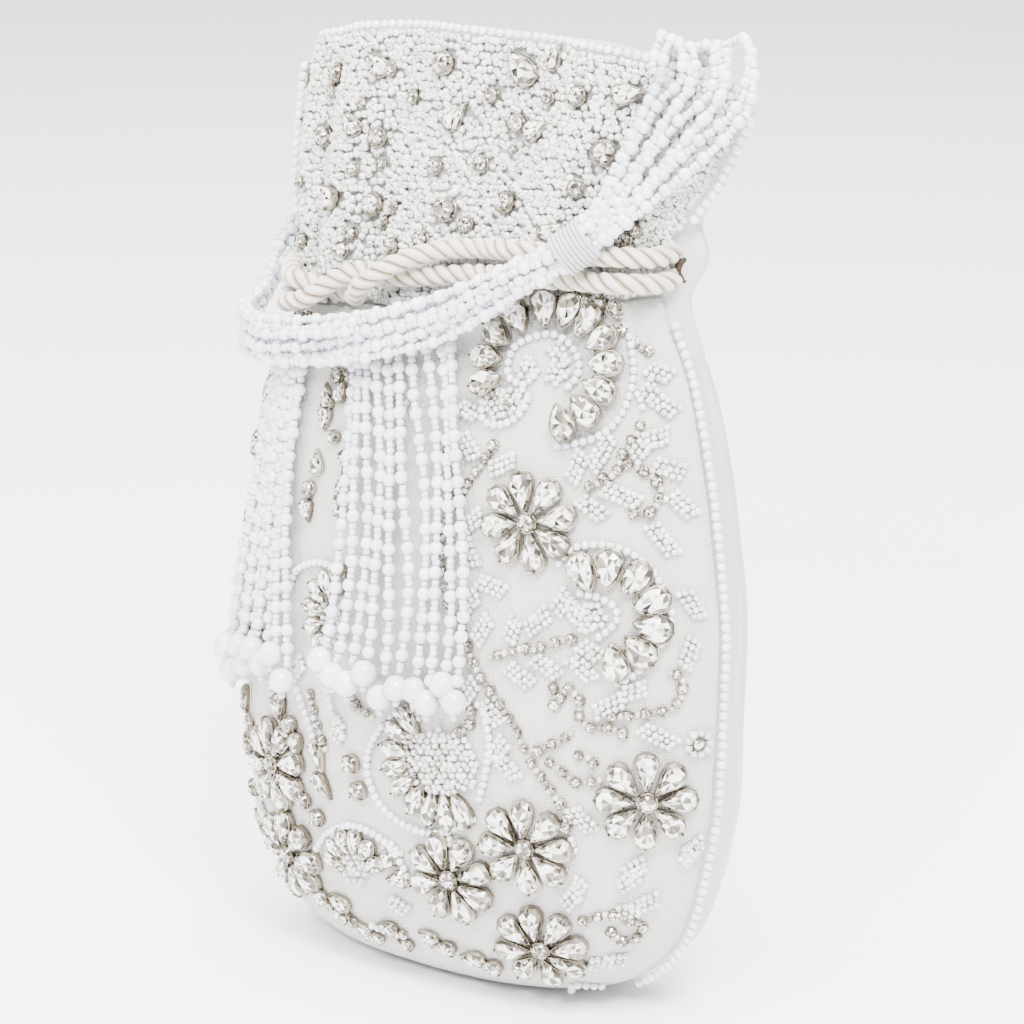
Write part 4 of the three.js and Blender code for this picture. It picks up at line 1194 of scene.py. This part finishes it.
# %% Small stones beside the rope
ROPE_STONES = [
    # across px, down px, length, width, turn (round stones have no length)
    (536, 299, 0, 3.0, 0), (549, 302, 0, 2.8, 0), (562, 300, 0, 3.0, 0), (575, 303, 0, 3.2, 0),
    (588, 301, 0, 3.4, 0), (602, 303, 0, 3.2, 0), (614, 307, 0, 3.6, 0), (596, 312, 0, 2.8, 0),
    (618, 314, 0, 2.8, 0), (306, 316, 0, 3.4, 0), (318, 322, 0, 3.0, 0), (627, 240, 0, 3.4, 0),
    (632, 226, 0, 3.2, 0), (618, 246, 0, 3.0, 0), (640, 214, 0, 3.2, 0),
]
rope_stones = Parts()
add_photo_stones(rope_stones, ROPE_STONES, YOKE_FACE - 0.2)
rope_stones.piece("stones_by_rope", [cut_stones, silver_cup], "crystal")

# %% Lines and areas laid on the net
NET_SEAT = NET_FACE - 0.1


def cloth_line(pixels):
    """Dense levels and degrees of a smooth line through pixels, with its length so far."""
    levels, angles = cloth_places(pixels, NET_FACE)
    smooth = smooth_line(np.column_stack([levels * BAG_HEIGHT, angles, 0 * angles]), 12)
    places = on_bag(smooth[:, 0] / BAG_HEIGHT, smooth[:, 1], NET_FACE)
    return smooth[:, 0] / BAG_HEIGHT, smooth[:, 1], running_length(places)


def stops_on(line, step, start=0.0):
    """Levels and degrees at equal steps along a cloth line."""
    levels, angles, far = line
    at = np.arange(start, far[-1] + 0.01, step)
    return np.interp(at, far, levels), np.interp(at, far, angles)


def inside(corners, points):
    """True for each point inside the outline of corners."""
    corners, hit = np.asarray(corners, float), np.zeros(len(points), bool)
    for (x1, y1), (x2, y2) in zip(corners, np.roll(corners, -1, axis=0)):
        crosses = (y1 > points[:, 1]) != (y2 > points[:, 1])
        edge = x1 + (points[:, 1] - y1) * (x2 - x1) / (y2 - y1 if y2 != y1 else 1e-9)
        hit ^= crosses & (points[:, 0] < edge)
    return hit


def random_axes(levels, angles, lift):
    across, up, away = frame_at(levels, angles)
    turn = chance.uniform(0, 2 * np.pi, len(levels))[:, None]
    rise = chance.uniform(0, 1, len(levels))[:, None] ** 2 * lift
    return unit(across * np.cos(turn) + up * np.sin(turn) + away * rise)


# %% Rows of small pearls
PEARL_ROWS = [
    [(628, 336), (632, 365), (628, 395), (616, 420), (596, 436), (572, 443), (556, 445)],
    [(524, 384), (510, 376), (510, 358), (520, 342), (546, 333), (566, 340), (578, 358), (577, 376), (566, 388)],
    [(484, 400), (484, 418), (496, 424), (512, 420), (524, 408), (530, 394)],
    [(559, 562), (574, 547), (604, 544), (631, 553), (652, 572), (668, 603), (668, 624), (652, 654),
     (631, 675), (612, 683)],
    [(580, 592), (597, 596), (612, 604), (617, 616), (610, 627), (594, 639)],
    [(398, 712), (384, 726), (372, 748), (370, 772), (380, 800), (400, 820), (428, 832), (456, 828), (478, 816)],
    [(320, 848), (332, 832), (352, 825), (374, 832), (392, 846), (404, 864), (410, 880)],
    [(485, 712), (490, 740), (487, 770), (480, 800)],
    [(292, 590), (300, 570), (320, 562), (340, 568)],
    [(300, 690), (312, 722), (318, 745)],
    [(330, 690), (336, 715), (348, 742)],
    [(600, 985), (572, 984), (548, 990)],
    [(375, 925), (392, 931), (410, 936)],
]
SMALL_PEARL = 2.15
pearl_rows = Parts()
for pixels in PEARL_ROWS:
    levels, angles = stops_on(cloth_line(pixels), SMALL_PEARL + 0.05)
    places = on_bag(levels, angles, NET_SEAT + SMALL_PEARL / 2)
    _, up, _ = frame_at(levels, angles)
    axes = unit(up + chance.uniform(-0.3, 0.3, up.shape))
    add_pearls(pearl_rows, places, axes, np.full(len(levels), SMALL_PEARL))
pearl_rows.piece("pearl_rows", [pearl_coat], "pearl")

# %% Seed beads packed inside the paisleys
PACKED = [
    [(494, 384), (520, 386), (530, 396), (524, 412), (508, 420), (490, 418), (484, 402)],
    [(546, 346), (560, 342), (568, 356), (570, 376), (556, 384), (540, 376), (552, 362)],
    [(516, 360), (530, 352), (540, 364), (536, 382), (520, 378)],
    [(404, 742), (420, 728), (448, 728), (472, 742), (480, 768), (474, 790), (452, 794), (424, 792), (406, 776)],
    [(576, 600), (600, 602), (608, 614), (600, 628), (584, 634), (570, 620)],
    [(314, 600), (334, 594), (348, 606), (348, 640), (336, 656), (322, 646)],
    [(336, 858), (352, 850), (366, 856), (374, 872), (360, 886), (342, 876)],
    [(388, 392), (402, 384), (410, 400), (404, 416), (390, 412)],
    [(560, 604), (578, 596), (586, 612), (572, 622)],
]
SMALL_SEED = 1.75
packed_beads = Parts()
for corners in PACKED:
    x, y = np.array(corners, float).T
    grid_x, grid_y = np.meshgrid(np.arange(x.min(), x.max(), 6.2), np.arange(y.min(), y.max(), 5.8))
    grid_x = grid_x + 3.1 * (np.arange(grid_x.shape[0]) % 2)[:, None]
    pixels = np.column_stack([grid_x.ravel(), grid_y.ravel()]) + chance.uniform(-1.3, 1.3, (grid_x.size, 2))
    pixels = pixels[inside(corners, pixels)]
    levels, angles = cloth_places(pixels, NET_FACE)
    places = on_bag(levels, angles, NET_SEAT + SMALL_SEED / 2 + chance.uniform(0, 0.3, len(levels)))
    add_seeds(packed_beads, places, random_axes(levels, angles, 0.8), np.full(len(levels), SMALL_SEED))
packed_beads.piece("packed_seed_beads", [seed_glass], "seed_bead")

# %% Vines of small round stones and silver lined beads
VINES = [
    [(446, 440), (448, 470), (450, 500), (446, 530), (443, 560), (448, 590), (450, 614), (462, 630),
     (472, 656), (484, 680), (500, 702), (517, 731), (532, 763), (554, 793), (571, 822)],
    [(462, 498), (468, 484), (479, 469), (490, 452), (498, 440)],
    [(539, 750), (550, 744), (562, 740), (574, 728)],
    [(550, 762), (563, 771), (573, 781), (589, 781), (606, 777)],
    [(579, 755), (590, 759), (598, 768)],
    [(554, 688), (556, 708), (566, 687), (580, 698), (579, 715), (591, 727), (608, 727), (624, 733)],
    [(612, 716), (637, 714), (654, 712), (670, 708), (681, 695), (679, 676), (662, 671)],
    [(572, 639), (551, 643), (534, 648), (518, 649), (504, 654), (486, 656)],
    [(640, 425), (629, 444), (621, 458), (616, 473), (601, 480), (586, 489)],
    [(628, 464), (646, 473), (659, 486), (658, 499), (650, 512), (632, 514)],
    [(622, 330), (637, 345), (654, 354)],
    [(583, 920), (597, 916), (612, 914), (630, 920), (648, 929)],
    [(611, 931), (624, 941), (639, 936)],
    [(312, 694), (318, 720), (328, 752)],
    [(352, 690), (358, 706), (376, 716)],
    [(460, 700), (474, 712), (468, 728), (452, 732)],
    [(490, 384), (500, 396), (512, 404)],
    [(436, 744), (444, 760), (438, 776)],
    [(500, 322), (482, 338)],
    [(300, 316), (322, 322)],
]
VINE_STONE = 2.9
VINE_STEP = 4.3
vine_stones, vine_beads = Parts(), Parts()
vine_lines = [cloth_line(pixels) for pixels in VINES]
for line in vine_lines:
    levels, angles = stops_on(line, VINE_STEP)
    for a, b, size in zip(levels, angles, chance.uniform(0.88, 1.08, len(levels)) * VINE_STONE):
        place, turn_by = on_bag(a, b, STONE_SEAT - 0.2), chance.uniform(0, 90)
        add_stone(vine_stones, place, *frame_at(a, b), size, size, ROUND, turn_by)
    levels, angles = stops_on(line, VINE_STEP, VINE_STEP / 2)
    if len(levels):
        places = on_bag(levels, angles, NET_SEAT + SMALL_SEED / 2)
        places = places + chance.uniform(-0.3, 0.3, places.shape)
        add_seeds(vine_beads, places, random_axes(levels, angles, 0.5), np.full(len(levels), SMALL_SEED))
vine_stones.piece("vine_stones", [cut_stones, silver_cup], "crystal")
vine_beads.piece("vine_silver_beads", [silver_seed], "seed_bead")

# %% Little leaves of white seed beads
LEAVES = [
    # across px, down px, slant in degrees from across towards up, rows of three
    (469, 445, -50, 5), (503, 464, 25, 5), (577, 466, 70, 5), (601, 452, 60, 6), (656, 437, 15, 4),
    (668, 468, -20, 5), (681, 504, -45, 5), (620, 495, -20, 6), (591, 507, -35, 5), (662, 539, -55, 6),
    (469, 551, -60, 5), (469, 604, 50, 5), (492, 585, -15, 5), (483, 629, 60, 5), (513, 629, 70, 4),
    (538, 621, 45, 5), (562, 602, 60, 4), (590, 650, -30, 4), (520, 675, -30, 5), (547, 666, -30, 5),
    (582, 668, -40, 5), (691, 604, -60, 5), (688, 653, 70, 5), (608, 705, 30, 5), (646, 392, 40, 4),
    (658, 372, -30, 4), (664, 406, -40, 4), (640, 448, 50, 4), (470, 410, -20, 4), (474, 520, 40, 4),
    (492, 712, -40, 5), (500, 748, 60, 4), (507, 766, -40, 5), (657, 736, -30, 6), (634, 690, 20, 4),
    (582, 819, -50, 5), (692, 848, 35, 4), (686, 856, 60, 3), (634, 868, 35, 4), (628, 880, 40, 4),
    (577, 888, 65, 4), (571, 898, 50, 4), (627, 911, 15, 4), (646, 902, 25, 4), (614, 960, 10, 4),
    (600, 963, 10, 4), (565, 848, 35, 4), (470, 690, 60, 4), (560, 520, 10, 2),
    (420, 690, 20, 4), (386, 690, -30, 4), (340, 730, 70, 4), (300, 668, 50, 4), (276, 690, -60, 4),
    (420, 712, 30, 3), (394, 850, -40, 3), (400, 905, -20, 4), (340, 835, 20, 3), (446, 840, 30, 3),
]
leaf_levels, leaf_angles = cloth_places([row[:2] for row in LEAVES], NET_FACE)
leaf_beads = Parts()


def add_leaf(level, degrees, slant, rows):
    """Slanting rows of three seed beads, each row a step on from the last."""
    c, s = math.cos(math.radians(slant)), math.sin(math.radians(slant))
    flat = []
    for j in range(rows):
        for i in (-1, 0, 1):
            on, beside = (j - (rows - 1) / 2) * 1.72 + 0.55 * i, i * 1.52
            flat.append((on * c - beside * s, on * s + beside * c))
    flat = np.array(flat) + chance.uniform(-0.2, 0.2, (len(flat), 2))
    levels, angles = patch_places(level, degrees, flat)
    across, up, _ = frame_at(levels, angles)
    axes = unit(-across * s + up * c + chance.uniform(-0.3, 0.3, across.shape))
    places = on_bag(levels, angles, NET_SEAT + SMALL_SEED / 2)
    add_seeds(leaf_beads, places, axes, chance.uniform(0.92, 1.06, len(levels)) * SMALL_SEED)


for (_, _, slant, rows), level, degrees in zip(LEAVES, leaf_levels, leaf_angles):
    add_leaf(level, degrees, slant, rows)

# %% Ring of seed beads round the lone stone
RING_BEADS = 9
RING_RADIUS = 2.9
RING_SEED = 2.1
ring_level, ring_degrees = cloth_places([(697, 743)], NET_FACE)
ring_flat = RING_RADIUS * circle(round_turns(RING_BEADS))
levels, angles = patch_places(ring_level[0], ring_degrees[0], ring_flat)
places = on_bag(levels, angles, NET_SEAT + 1.0)
add_seeds(leaf_beads, places, random_axes(levels, angles, 0.4), np.full(RING_BEADS, RING_SEED))

# %% [markdown]
# The far left of the net isn't in the photograph. Work of this kind is nearly the same on both
# sides, so the vines and leaves of the right edge are laid there again, turned over.

# %% Leaves and vines of the hidden left edge
for (_, _, slant, rows), level, degrees in zip(LEAVES, leaf_levels, leaf_angles):
    if degrees > 47:
        add_leaf(level, -degrees, 180 - slant, rows)
leaf_beads.piece("leaf_seed_beads", [seed_glass], "seed_bead")
edge_stones = Parts()
for levels, angles, far in vine_lines:
    if angles.min() > 38:
        for a, b in zip(*stops_on((levels, -angles, far), VINE_STEP)):
            place = on_bag(a, b, STONE_SEAT - 0.2)
            add_stone(edge_stones, place, *frame_at(a, b), VINE_STONE, VINE_STONE, ROUND)
EDGE_STONES = [
    # level, degrees, length, width, turn (round stones have no length)
    (0.62, -62, 8.4, 5.0, 20), (0.58, -58, 0, 4.6, 0), (0.55, -66, 8.4, 5.0, 160), (0.50, -60, 0, 5.0, 0),
    (0.46, -66, 8.0, 5.0, 30), (0.42, -60, 0, 4.4, 0), (0.38, -68, 8.4, 5.0, -20), (0.34, -61, 0, 4.8, 0),
    (0.30, -68, 0, 5.0, 0), (0.26, -62, 8.0, 5.0, 200), (0.20, -68, 8.4, 5.0, 160), (0.16, -60, 0, 5.0, 0),
    (0.12, -66, 8.0, 5.0, 120), (0.17, -22, 0, 5.0, 0), (0.075, -20, 7.6, 4.8, 60), (0.062, -6, 7.0, 4.4, 80),
]
for level, degrees, length, width, turn_by in EDGE_STONES:
    cut = PEAR if length else ROUND
    place = on_bag(level, degrees, STONE_SEAT)
    add_stone(edge_stones, place, *frame_at(level, degrees), length or width, width, cut, turn_by)
edge_stones.piece("stones_left_edge", [cut_stones, silver_cup], "crystal")

# %% [markdown]
# ## Twisted rope
# The drawstring is two cords, each of three plies, and each ply a bundle of fine ivory yarn. The
# cords lie one above the other on the right and wind round each other on the left. Their route
# is the frame's own list of points. Each ply is a tube that winds round the cord's middle line.

# %% Route of the drawstring
CORD = 5.5
CORD_ROUTE = [
    # level, degrees, out, spread, twist
    (0.772, 180, -5.5, 6.7, 90), (0.772, 150, -5.5, 6.7, 90), (0.772, 122, -5.5, 6.7, 90),
    (0.768, 103, -5.5, 6.7, 90), (0.764, 84, 0.5, 6.7, 90), (0.762, 66, 6.5, 6.7, 90),
    (0.767, 50, 6.5, 6.7, 90), (0.771, 35, 6.5, 6.7, 90), (0.778, 20, 6.5, 6.7, 90),
    (0.779, 8, 6.5, 6.7, 90), (0.778, 0, 6.7, 6.7, 70), (0.772, -6, 8.6, 6.7, 20),
    (0.765, -11, 9.3, 6.7, -30), (0.759, -17, 8.9, 6.7, -90), (0.754, -24, 8.9, 6.7, -150),
    (0.750, -32, 9.3, 6.7, -210), (0.750, -42, 8.3, 6.7, -258), (0.757, -58, 6.8, 6.7, -270),
    (0.764, -83, 0.5, 6.7, -270), (0.768, -103, -5.5, 6.7, -270), (0.772, -122, -5.5, 6.7, -270),
    (0.772, -150, -5.5, 6.7, -270),
]


def cord_line(side):
    """Middle line of one cord, a whole loop."""
    level, degrees, out, spread_by, twist = (np.array(column, float) for column in zip(*CORD_ROUTE))
    _, up, away = frame_at(level, degrees)
    lift = side * spread_by / 2 * np.sin(np.radians(twist))
    swing = side * spread_by / 2 * np.cos(np.radians(twist))
    points = on_bag(level, degrees, out) + up * lift[:, None] + away * swing[:, None]
    return smooth_line(points, 20, closed=True)


def carried_frames(line):
    """Two directions square to a closed line that turn with it as little as they can."""
    along = unit(np.roll(line, -1, axis=0) - np.roll(line, 1, axis=0))
    x = np.zeros_like(line)
    first = np.cross(along[0], [0, 0, 1.0])
    x[0] = first / np.linalg.norm(first)
    for i in range(1, len(line)):
        carried = x[i - 1] - along[i] * np.dot(x[i - 1], along[i])
        x[i] = carried / np.linalg.norm(carried)
    return along, x, np.cross(along, x)


# %% Plies of the rope
LAY = 12.5
PLIES = 3
PLY_SIDES = 14
PLY_STEP = 0.55
PLY_SHARE = 0.485
PLY_OVAL = 1.02
# The deep colour of the rope is painted shade, laid in the creases between the plies.
rope_paint_with_crease_shade = shiny("ivory_rope", 0.5, sheen=0.5, pale=(0.72, 0.67, 0.57), deep=(0.25, 0.155, 0.07))
yarn_rope = woven(rope_paint_with_crease_shade, threads=0.9, cross=0.0, strength=0.5, height=0.0003)

for side, name in ((1, "drawstring_upper"), (-1, "drawstring_lower")):
    middle = cord_line(side)
    looped = np.vstack([middle, middle[:1]])
    total = line_length(looped)
    count = int(total / PLY_STEP)
    even, _ = along_line(looped, np.arange(count) * total / count)
    along, x, y = carried_frames(even)
    closing = math.atan2(np.dot(x[0], y[-1]), np.dot(x[0], x[-1]))
    windings = round(total / LAY)
    rope = Parts()
    ply_radius = CORD / 2 * PLY_SHARE
    offset = CORD / 2 - ply_radius
    for ply in range(PLIES):
        share = np.arange(count) / count
        angle = share * (2 * np.pi * windings + closing) + 2 * np.pi * ply / PLIES
        outward = x * np.cos(angle)[:, None] + y * np.sin(angle)[:, None]
        centre = even + outward * offset
        ply_along = unit(np.roll(centre, -1, axis=0) - np.roll(centre, 1, axis=0))
        side_way = np.cross(ply_along, outward)
        turns = round_turns(PLY_SIDES)
        cos_turn, sin_turn = np.cos(turns)[None, :, None], np.sin(turns)[None, :, None]
        ring = outward[:, None] * cos_turn + side_way[:, None] * sin_turn * PLY_OVAL
        points = centre[:, None] + ring * ply_radius
        faces = grid_faces(count, PLY_SIDES, True, looped=True)
        # Painted shade: faces of each ply that turn in towards the cord's middle, into the creases, get a tone
        # near 1 and so the deep tan colour.
        depth = np.clip((0.36 - 0.5 * np.cos(turns + np.pi / PLY_SIDES)) / 0.24, 0, 1)
        tone = np.tile(depth, count)
        yarn = np.stack([
            np.broadcast_to(turns[None] * ply_radius + share[:, None] * total * 0.35, (count, PLY_SIDES)),
            np.broadcast_to(share[:, None] * total, (count, PLY_SIDES)),
        ], axis=-1)
        rope.add(points.reshape(-1, 3), [faces[:, ::-1]], tone[None], flat_map=yarn)
    print(name, "length in millimetres:", round(total))
    rope.piece(name + "_rope", [yarn_rope], "rope", name)

# %% [markdown]
# ## Strap
# Ten strings of pearls make the strap. They leave the mouth in a fan, are bound together
# above the rope, and run as one loose band across the front and up behind the left side. Each
# string keeps its own lane of the band and strays a little from it.

# %% Route of the strap
STRAP_ROUTE = [
    # level, degrees, out, width, thick, face
    (0.930, 46, -5.6, 8, 3.0, 180), (1.002, 47, -5.6, 9, 3.0, 170), (1.030, 49, -2.2, 15, 3.2, 120),
    (1.029, 51, 2.8, 22, 3.4, 60), (0.996, 50, 7.0, 23, 3.4, 8), (0.948, 46, 7.0, 22, 3.4, 0),
    (0.890, 42.5, 7.6, 19, 4.0, 0), (0.842, 40, 10.4, 14, 4.8, 0), (0.812, 37, 14.0, 11, 5.8, 0),
    (0.785, 30, 14.2, 10, 6.8, 0), (0.768, 22, 14.2, 11, 6.8, 0), (0.746, 13.5, 14.2, 13, 6.8, 0),
    (0.729, 4.5, 14.0, 14, 6.8, 0), (0.717, -3, 13.8, 14.5, 6.8, 0), (0.708, -11, 13.6, 14.5, 6.8, 0),
    (0.698, -24, 13.4, 14.5, 6.8, 0), (0.696, -37, 13.6, 14.5, 6.8, 0), (0.698, -49, 14.2, 14.5, 6.8, 0),
    (0.704, -61, 14.8, 14.5, 6.8, 0), (0.714, -73, 14.2, 14, 6.8, 0), (0.742, -86, 13.0, 13, 6.8, 0),
    (0.780, -94, 11.0, 12, 6.6, 0), (0.820, -102, 8.4, 11, 6.0, 0), (0.868, -110, 5.6, 12, 5.2, 0),
    (0.910, -115, 3.4, 13, 4.2, 0), (0.950, -118, 2.4, 12, 3.4, 0),
]
level, degrees, out, width, thick, face = (np.array(column, float) for column in zip(*STRAP_ROUTE))
held = np.minimum(level, 1)
_, _, away = frame_at(held, degrees)
places = on_bag(held, degrees, out)
places[:, 2] += (level - held) * BAG_HEIGHT
flat_away = unit(away * np.array([1, 1, 0]))
cos_face, sin_face = np.cos(np.radians(face))[:, None], np.sin(np.radians(face))[:, None]
facing = flat_away * cos_face + np.array([[0, 0, 1.0]]) * sin_face
along = unit(np.vstack([places[1:2] - places[:1], places[2:] - places[:-2], places[-1:] - places[-2:-1]]))
facing = unit(facing - along * np.sum(facing * along, axis=1, keepdims=True))
beside = np.cross(along, facing)
strap_middle = smooth_line(places, 12)
print("strap length in millimetres:", round(line_length(strap_middle)))

# %% Strings of the strap
STRINGS = 10
LARGE, SMALL = 3.4, 2.1
string_pattern = [("pearl", LARGE, LARGE + 0.1), ("seed", SMALL, 1.5), ("seed", SMALL, 1.5)]
strap_beads = Parts()
stop_number = np.arange(len(level))
for k in range(STRINGS):
    lane = (k - (STRINGS - 1) / 2) / ((STRINGS - 1) / 2)
    layer = (-1) ** k * 0.5 + 0.25 * math.sin(2.3 * k)
    stray = np.sin(stop_number * 0.9 + 2.1 * k)
    lane_now = lane + 0.13 * stray
    fan = 1 + 0.3 * np.exp(-((stop_number - 3.5) / 2.2) ** 2)
    side_room = np.maximum(fan * width / 2 - LARGE / 2, 1.5)
    deep_room = np.maximum(thick / 2 - LARGE / 2, 0.3)
    layer_now = layer + 0.4 * np.cos(stop_number * 1.3 + k)
    points = places + beside * (side_room * lane_now)[:, None] + facing * (deep_room * layer_now)[:, None]
    line = smooth_line(points, 12)
    thread_beads(strap_beads, line, string_pattern, start=chance.uniform(0, 6.5), loose=0.22)
strap_beads.piece("strap_strings", [pearl_coat], "pearl", "pearl_strap")

# %% Thread bound round the narrow part of the strap
WRAP_THREAD = 1.1
binding = Parts()
BINDING_STEPS = 26
THREAD_SIDES = 6
ring_turns = round_turns(BINDING_STEPS)
tube_turns = round_turns(THREAD_SIDES)
bound_at = [(8, share, 5.4, 3.6) for share in np.linspace(0.15, 0.85, 8)]
bound_at += [(24, share, 6.6, 2.2) for share in np.linspace(0.55, 0.95, 5)]
for stretch, share, wide, deep in bound_at:
    middle = places[stretch] * (1 - share) + places[stretch + 1] * share
    way = unit(places[stretch + 1] - places[stretch])
    out_way = unit(facing[stretch] * (1 - share) + facing[stretch + 1] * share)
    out_way = unit(out_way - way * np.dot(out_way, way))
    beside_way = np.cross(way, out_way)
    cos_ring, sin_ring = np.cos(ring_turns)[:, None], np.sin(ring_turns)[:, None]
    ring_out = unit(beside_way * cos_ring * deep + out_way * sin_ring * wide)
    ring_middle = middle + beside_way * cos_ring * wide + out_way * sin_ring * deep + way * 0.8 * sin_ring
    tube_way = ring_out[:, None] * np.cos(tube_turns)[None, :, None] + way * np.sin(tube_turns)[None, :, None]
    tube = ring_middle[:, None] + WRAP_THREAD / 2 * tube_way
    grid = np.vstack([tube, tube[:1]]).reshape(-1, 3)
    binding.add(grid, [grid_faces(BINDING_STEPS + 1, THREAD_SIDES, True)], chance.random())
binding.piece("strap_binding", [satin_cloth], "rope")

# %% Ring of nearly black beads, painted shade in the slits where the cords go in
SLIT_PX = (680, 270)
SLIT_WIDE = 2.0
SLIT_HIGH = 2.7
SLIT_SHADE_BEADS = 20
slits = Parts()
slit_level, slit_degrees = (float(value[0]) for value in cloth_places([SLIT_PX], 1.2))
print("slit at level", round(slit_level, 3), "degrees", round(slit_degrees, 1))
for side, out in ((1, 3.0), (-1, 0.9)):
    across, up, away = frame_at(slit_level, side * slit_degrees)
    around_slit = round_turns(SLIT_SHADE_BEADS)
    edge = on_bag(slit_level, side * slit_degrees, out)
    cos_slit, sin_slit = np.cos(around_slit)[:, None], np.sin(around_slit)[:, None]
    edge = edge + across * SLIT_WIDE * cos_slit + up * SLIT_HIGH * sin_slit
    outward = unit(across * cos_slit + up * sin_slit)
    add_seeds(slits, edge, outward, chance.uniform(1.4, 1.7, SLIT_SHADE_BEADS))
slits.piece("slit_shade_ring", [slit_shade_paint], "rope")

# %% [markdown]
# ## Tassels
# Two bunches of pearl strings hang from under the strap. They spread a little on the way down
# and each ends in a large pearl with a small bead under it.

# %% Strings of the tassels
TASSELS = [
    # name, head level, strings of (from, middle, end degrees, end level, lift)
    ("tassel_left", 0.699, [
        (-60, -49.5, -65, 0.325, 0.27), (-56, -47, -59, 0.335, 0.23), (-52.5, -44.5, -53.5, 0.312, 0.19),
        (-49, -42, -48.5, 0.345, 0.16), (-46, -40, -44, 0.330, 0.135), (-43, -38, -40, 0.352, 0.16),
        (-40.5, -36, -35.5, 0.340, 0.135), (-38, -34, -31.5, 0.356, 0.16), (-35.5, -32, -27.5, 0.331, 0.135),
    ]),
    ("tassel_right", 0.708, [
        (-20, -13.5, -14.5, 0.372, 0.46), (-17, -11, -11.8, 0.358, 0.38), (-14, -8.5, -9, 0.352, 0.30),
        (-11, -6, -6, 0.366, 0.18), (-8.5, -3.5, -3, 0.344, 0.135), (-6, -1, -0.4, 0.358, 0.16),
        (-3.5, 1.5, 2, 0.360, 0.135), (-1.2, 4, 4.4, 0.350, 0.16), (1, 6.5, 7, 0.372, 0.135),
        (3, 8.5, 9.4, 0.356, 0.16),
    ]),
]
TASSEL_HEAD = 13.0
END_PEARL = 7.4
STRAND = 4.4
TASSEL_SEAT = STONE_SEAT + 1.1
tassel_pattern = [
    ("pearl", 3.7, 3.75), ("seed", SMALL, 1.45), ("seed", SMALL, 1.45), ("pearl", 3.6, 3.7), ("seed", SMALL, 1.4),
]
for name, head_level, strings in TASSELS:
    bunch = Parts()
    lengths = []
    for k, (start_at, middle_at, end_at, end_level, lift) in enumerate(strings):
        t = np.linspace(0, 1, 14)
        top = head_level + 0.35 * TASSEL_HEAD / BAG_HEIGHT
        levels = top + (end_level - top) * t
        pull = 2 * middle_at - (start_at + end_at) / 2
        turns = start_at * (1 - t) ** 2 + 2 * pull * t * (1 - t) + end_at * t ** 2
        turns = turns + 0.5 * np.sin(7 * t + 1.7 * k) * np.sin(np.pi * t)
        out = TASSEL_SEAT + STRAND / 2 - 0.2 + lift * END_PEARL * t ** 2 + 0.25 * (k % 2)
        line = smooth_line(on_bag(levels, turns, out), 8)
        thread_beads(bunch, line, tassel_pattern, start=chance.uniform(0, 6.5), loose=0.16)
        lengths.append(round(line_length(line)))
        end = on_bag(end_level, end_at, TASSEL_SEAT + END_PEARL / 2 + lift * END_PEARL)
        end = end - np.array([0, 0, END_PEARL * 0.35])
        down = np.array([[0, 0, -1.0]])
        large = chance.uniform(0.94, 1.0) * END_PEARL
        add_pearls(bunch, end[None], down, [large])
        add_seeds(bunch, end[None] + down * (large / 2 + 0.5), down, [SMALL])
    print(name, "strings in millimetres:", lengths)
    bunch.piece(name + "_strings", [pearl_coat], "pearl", name)
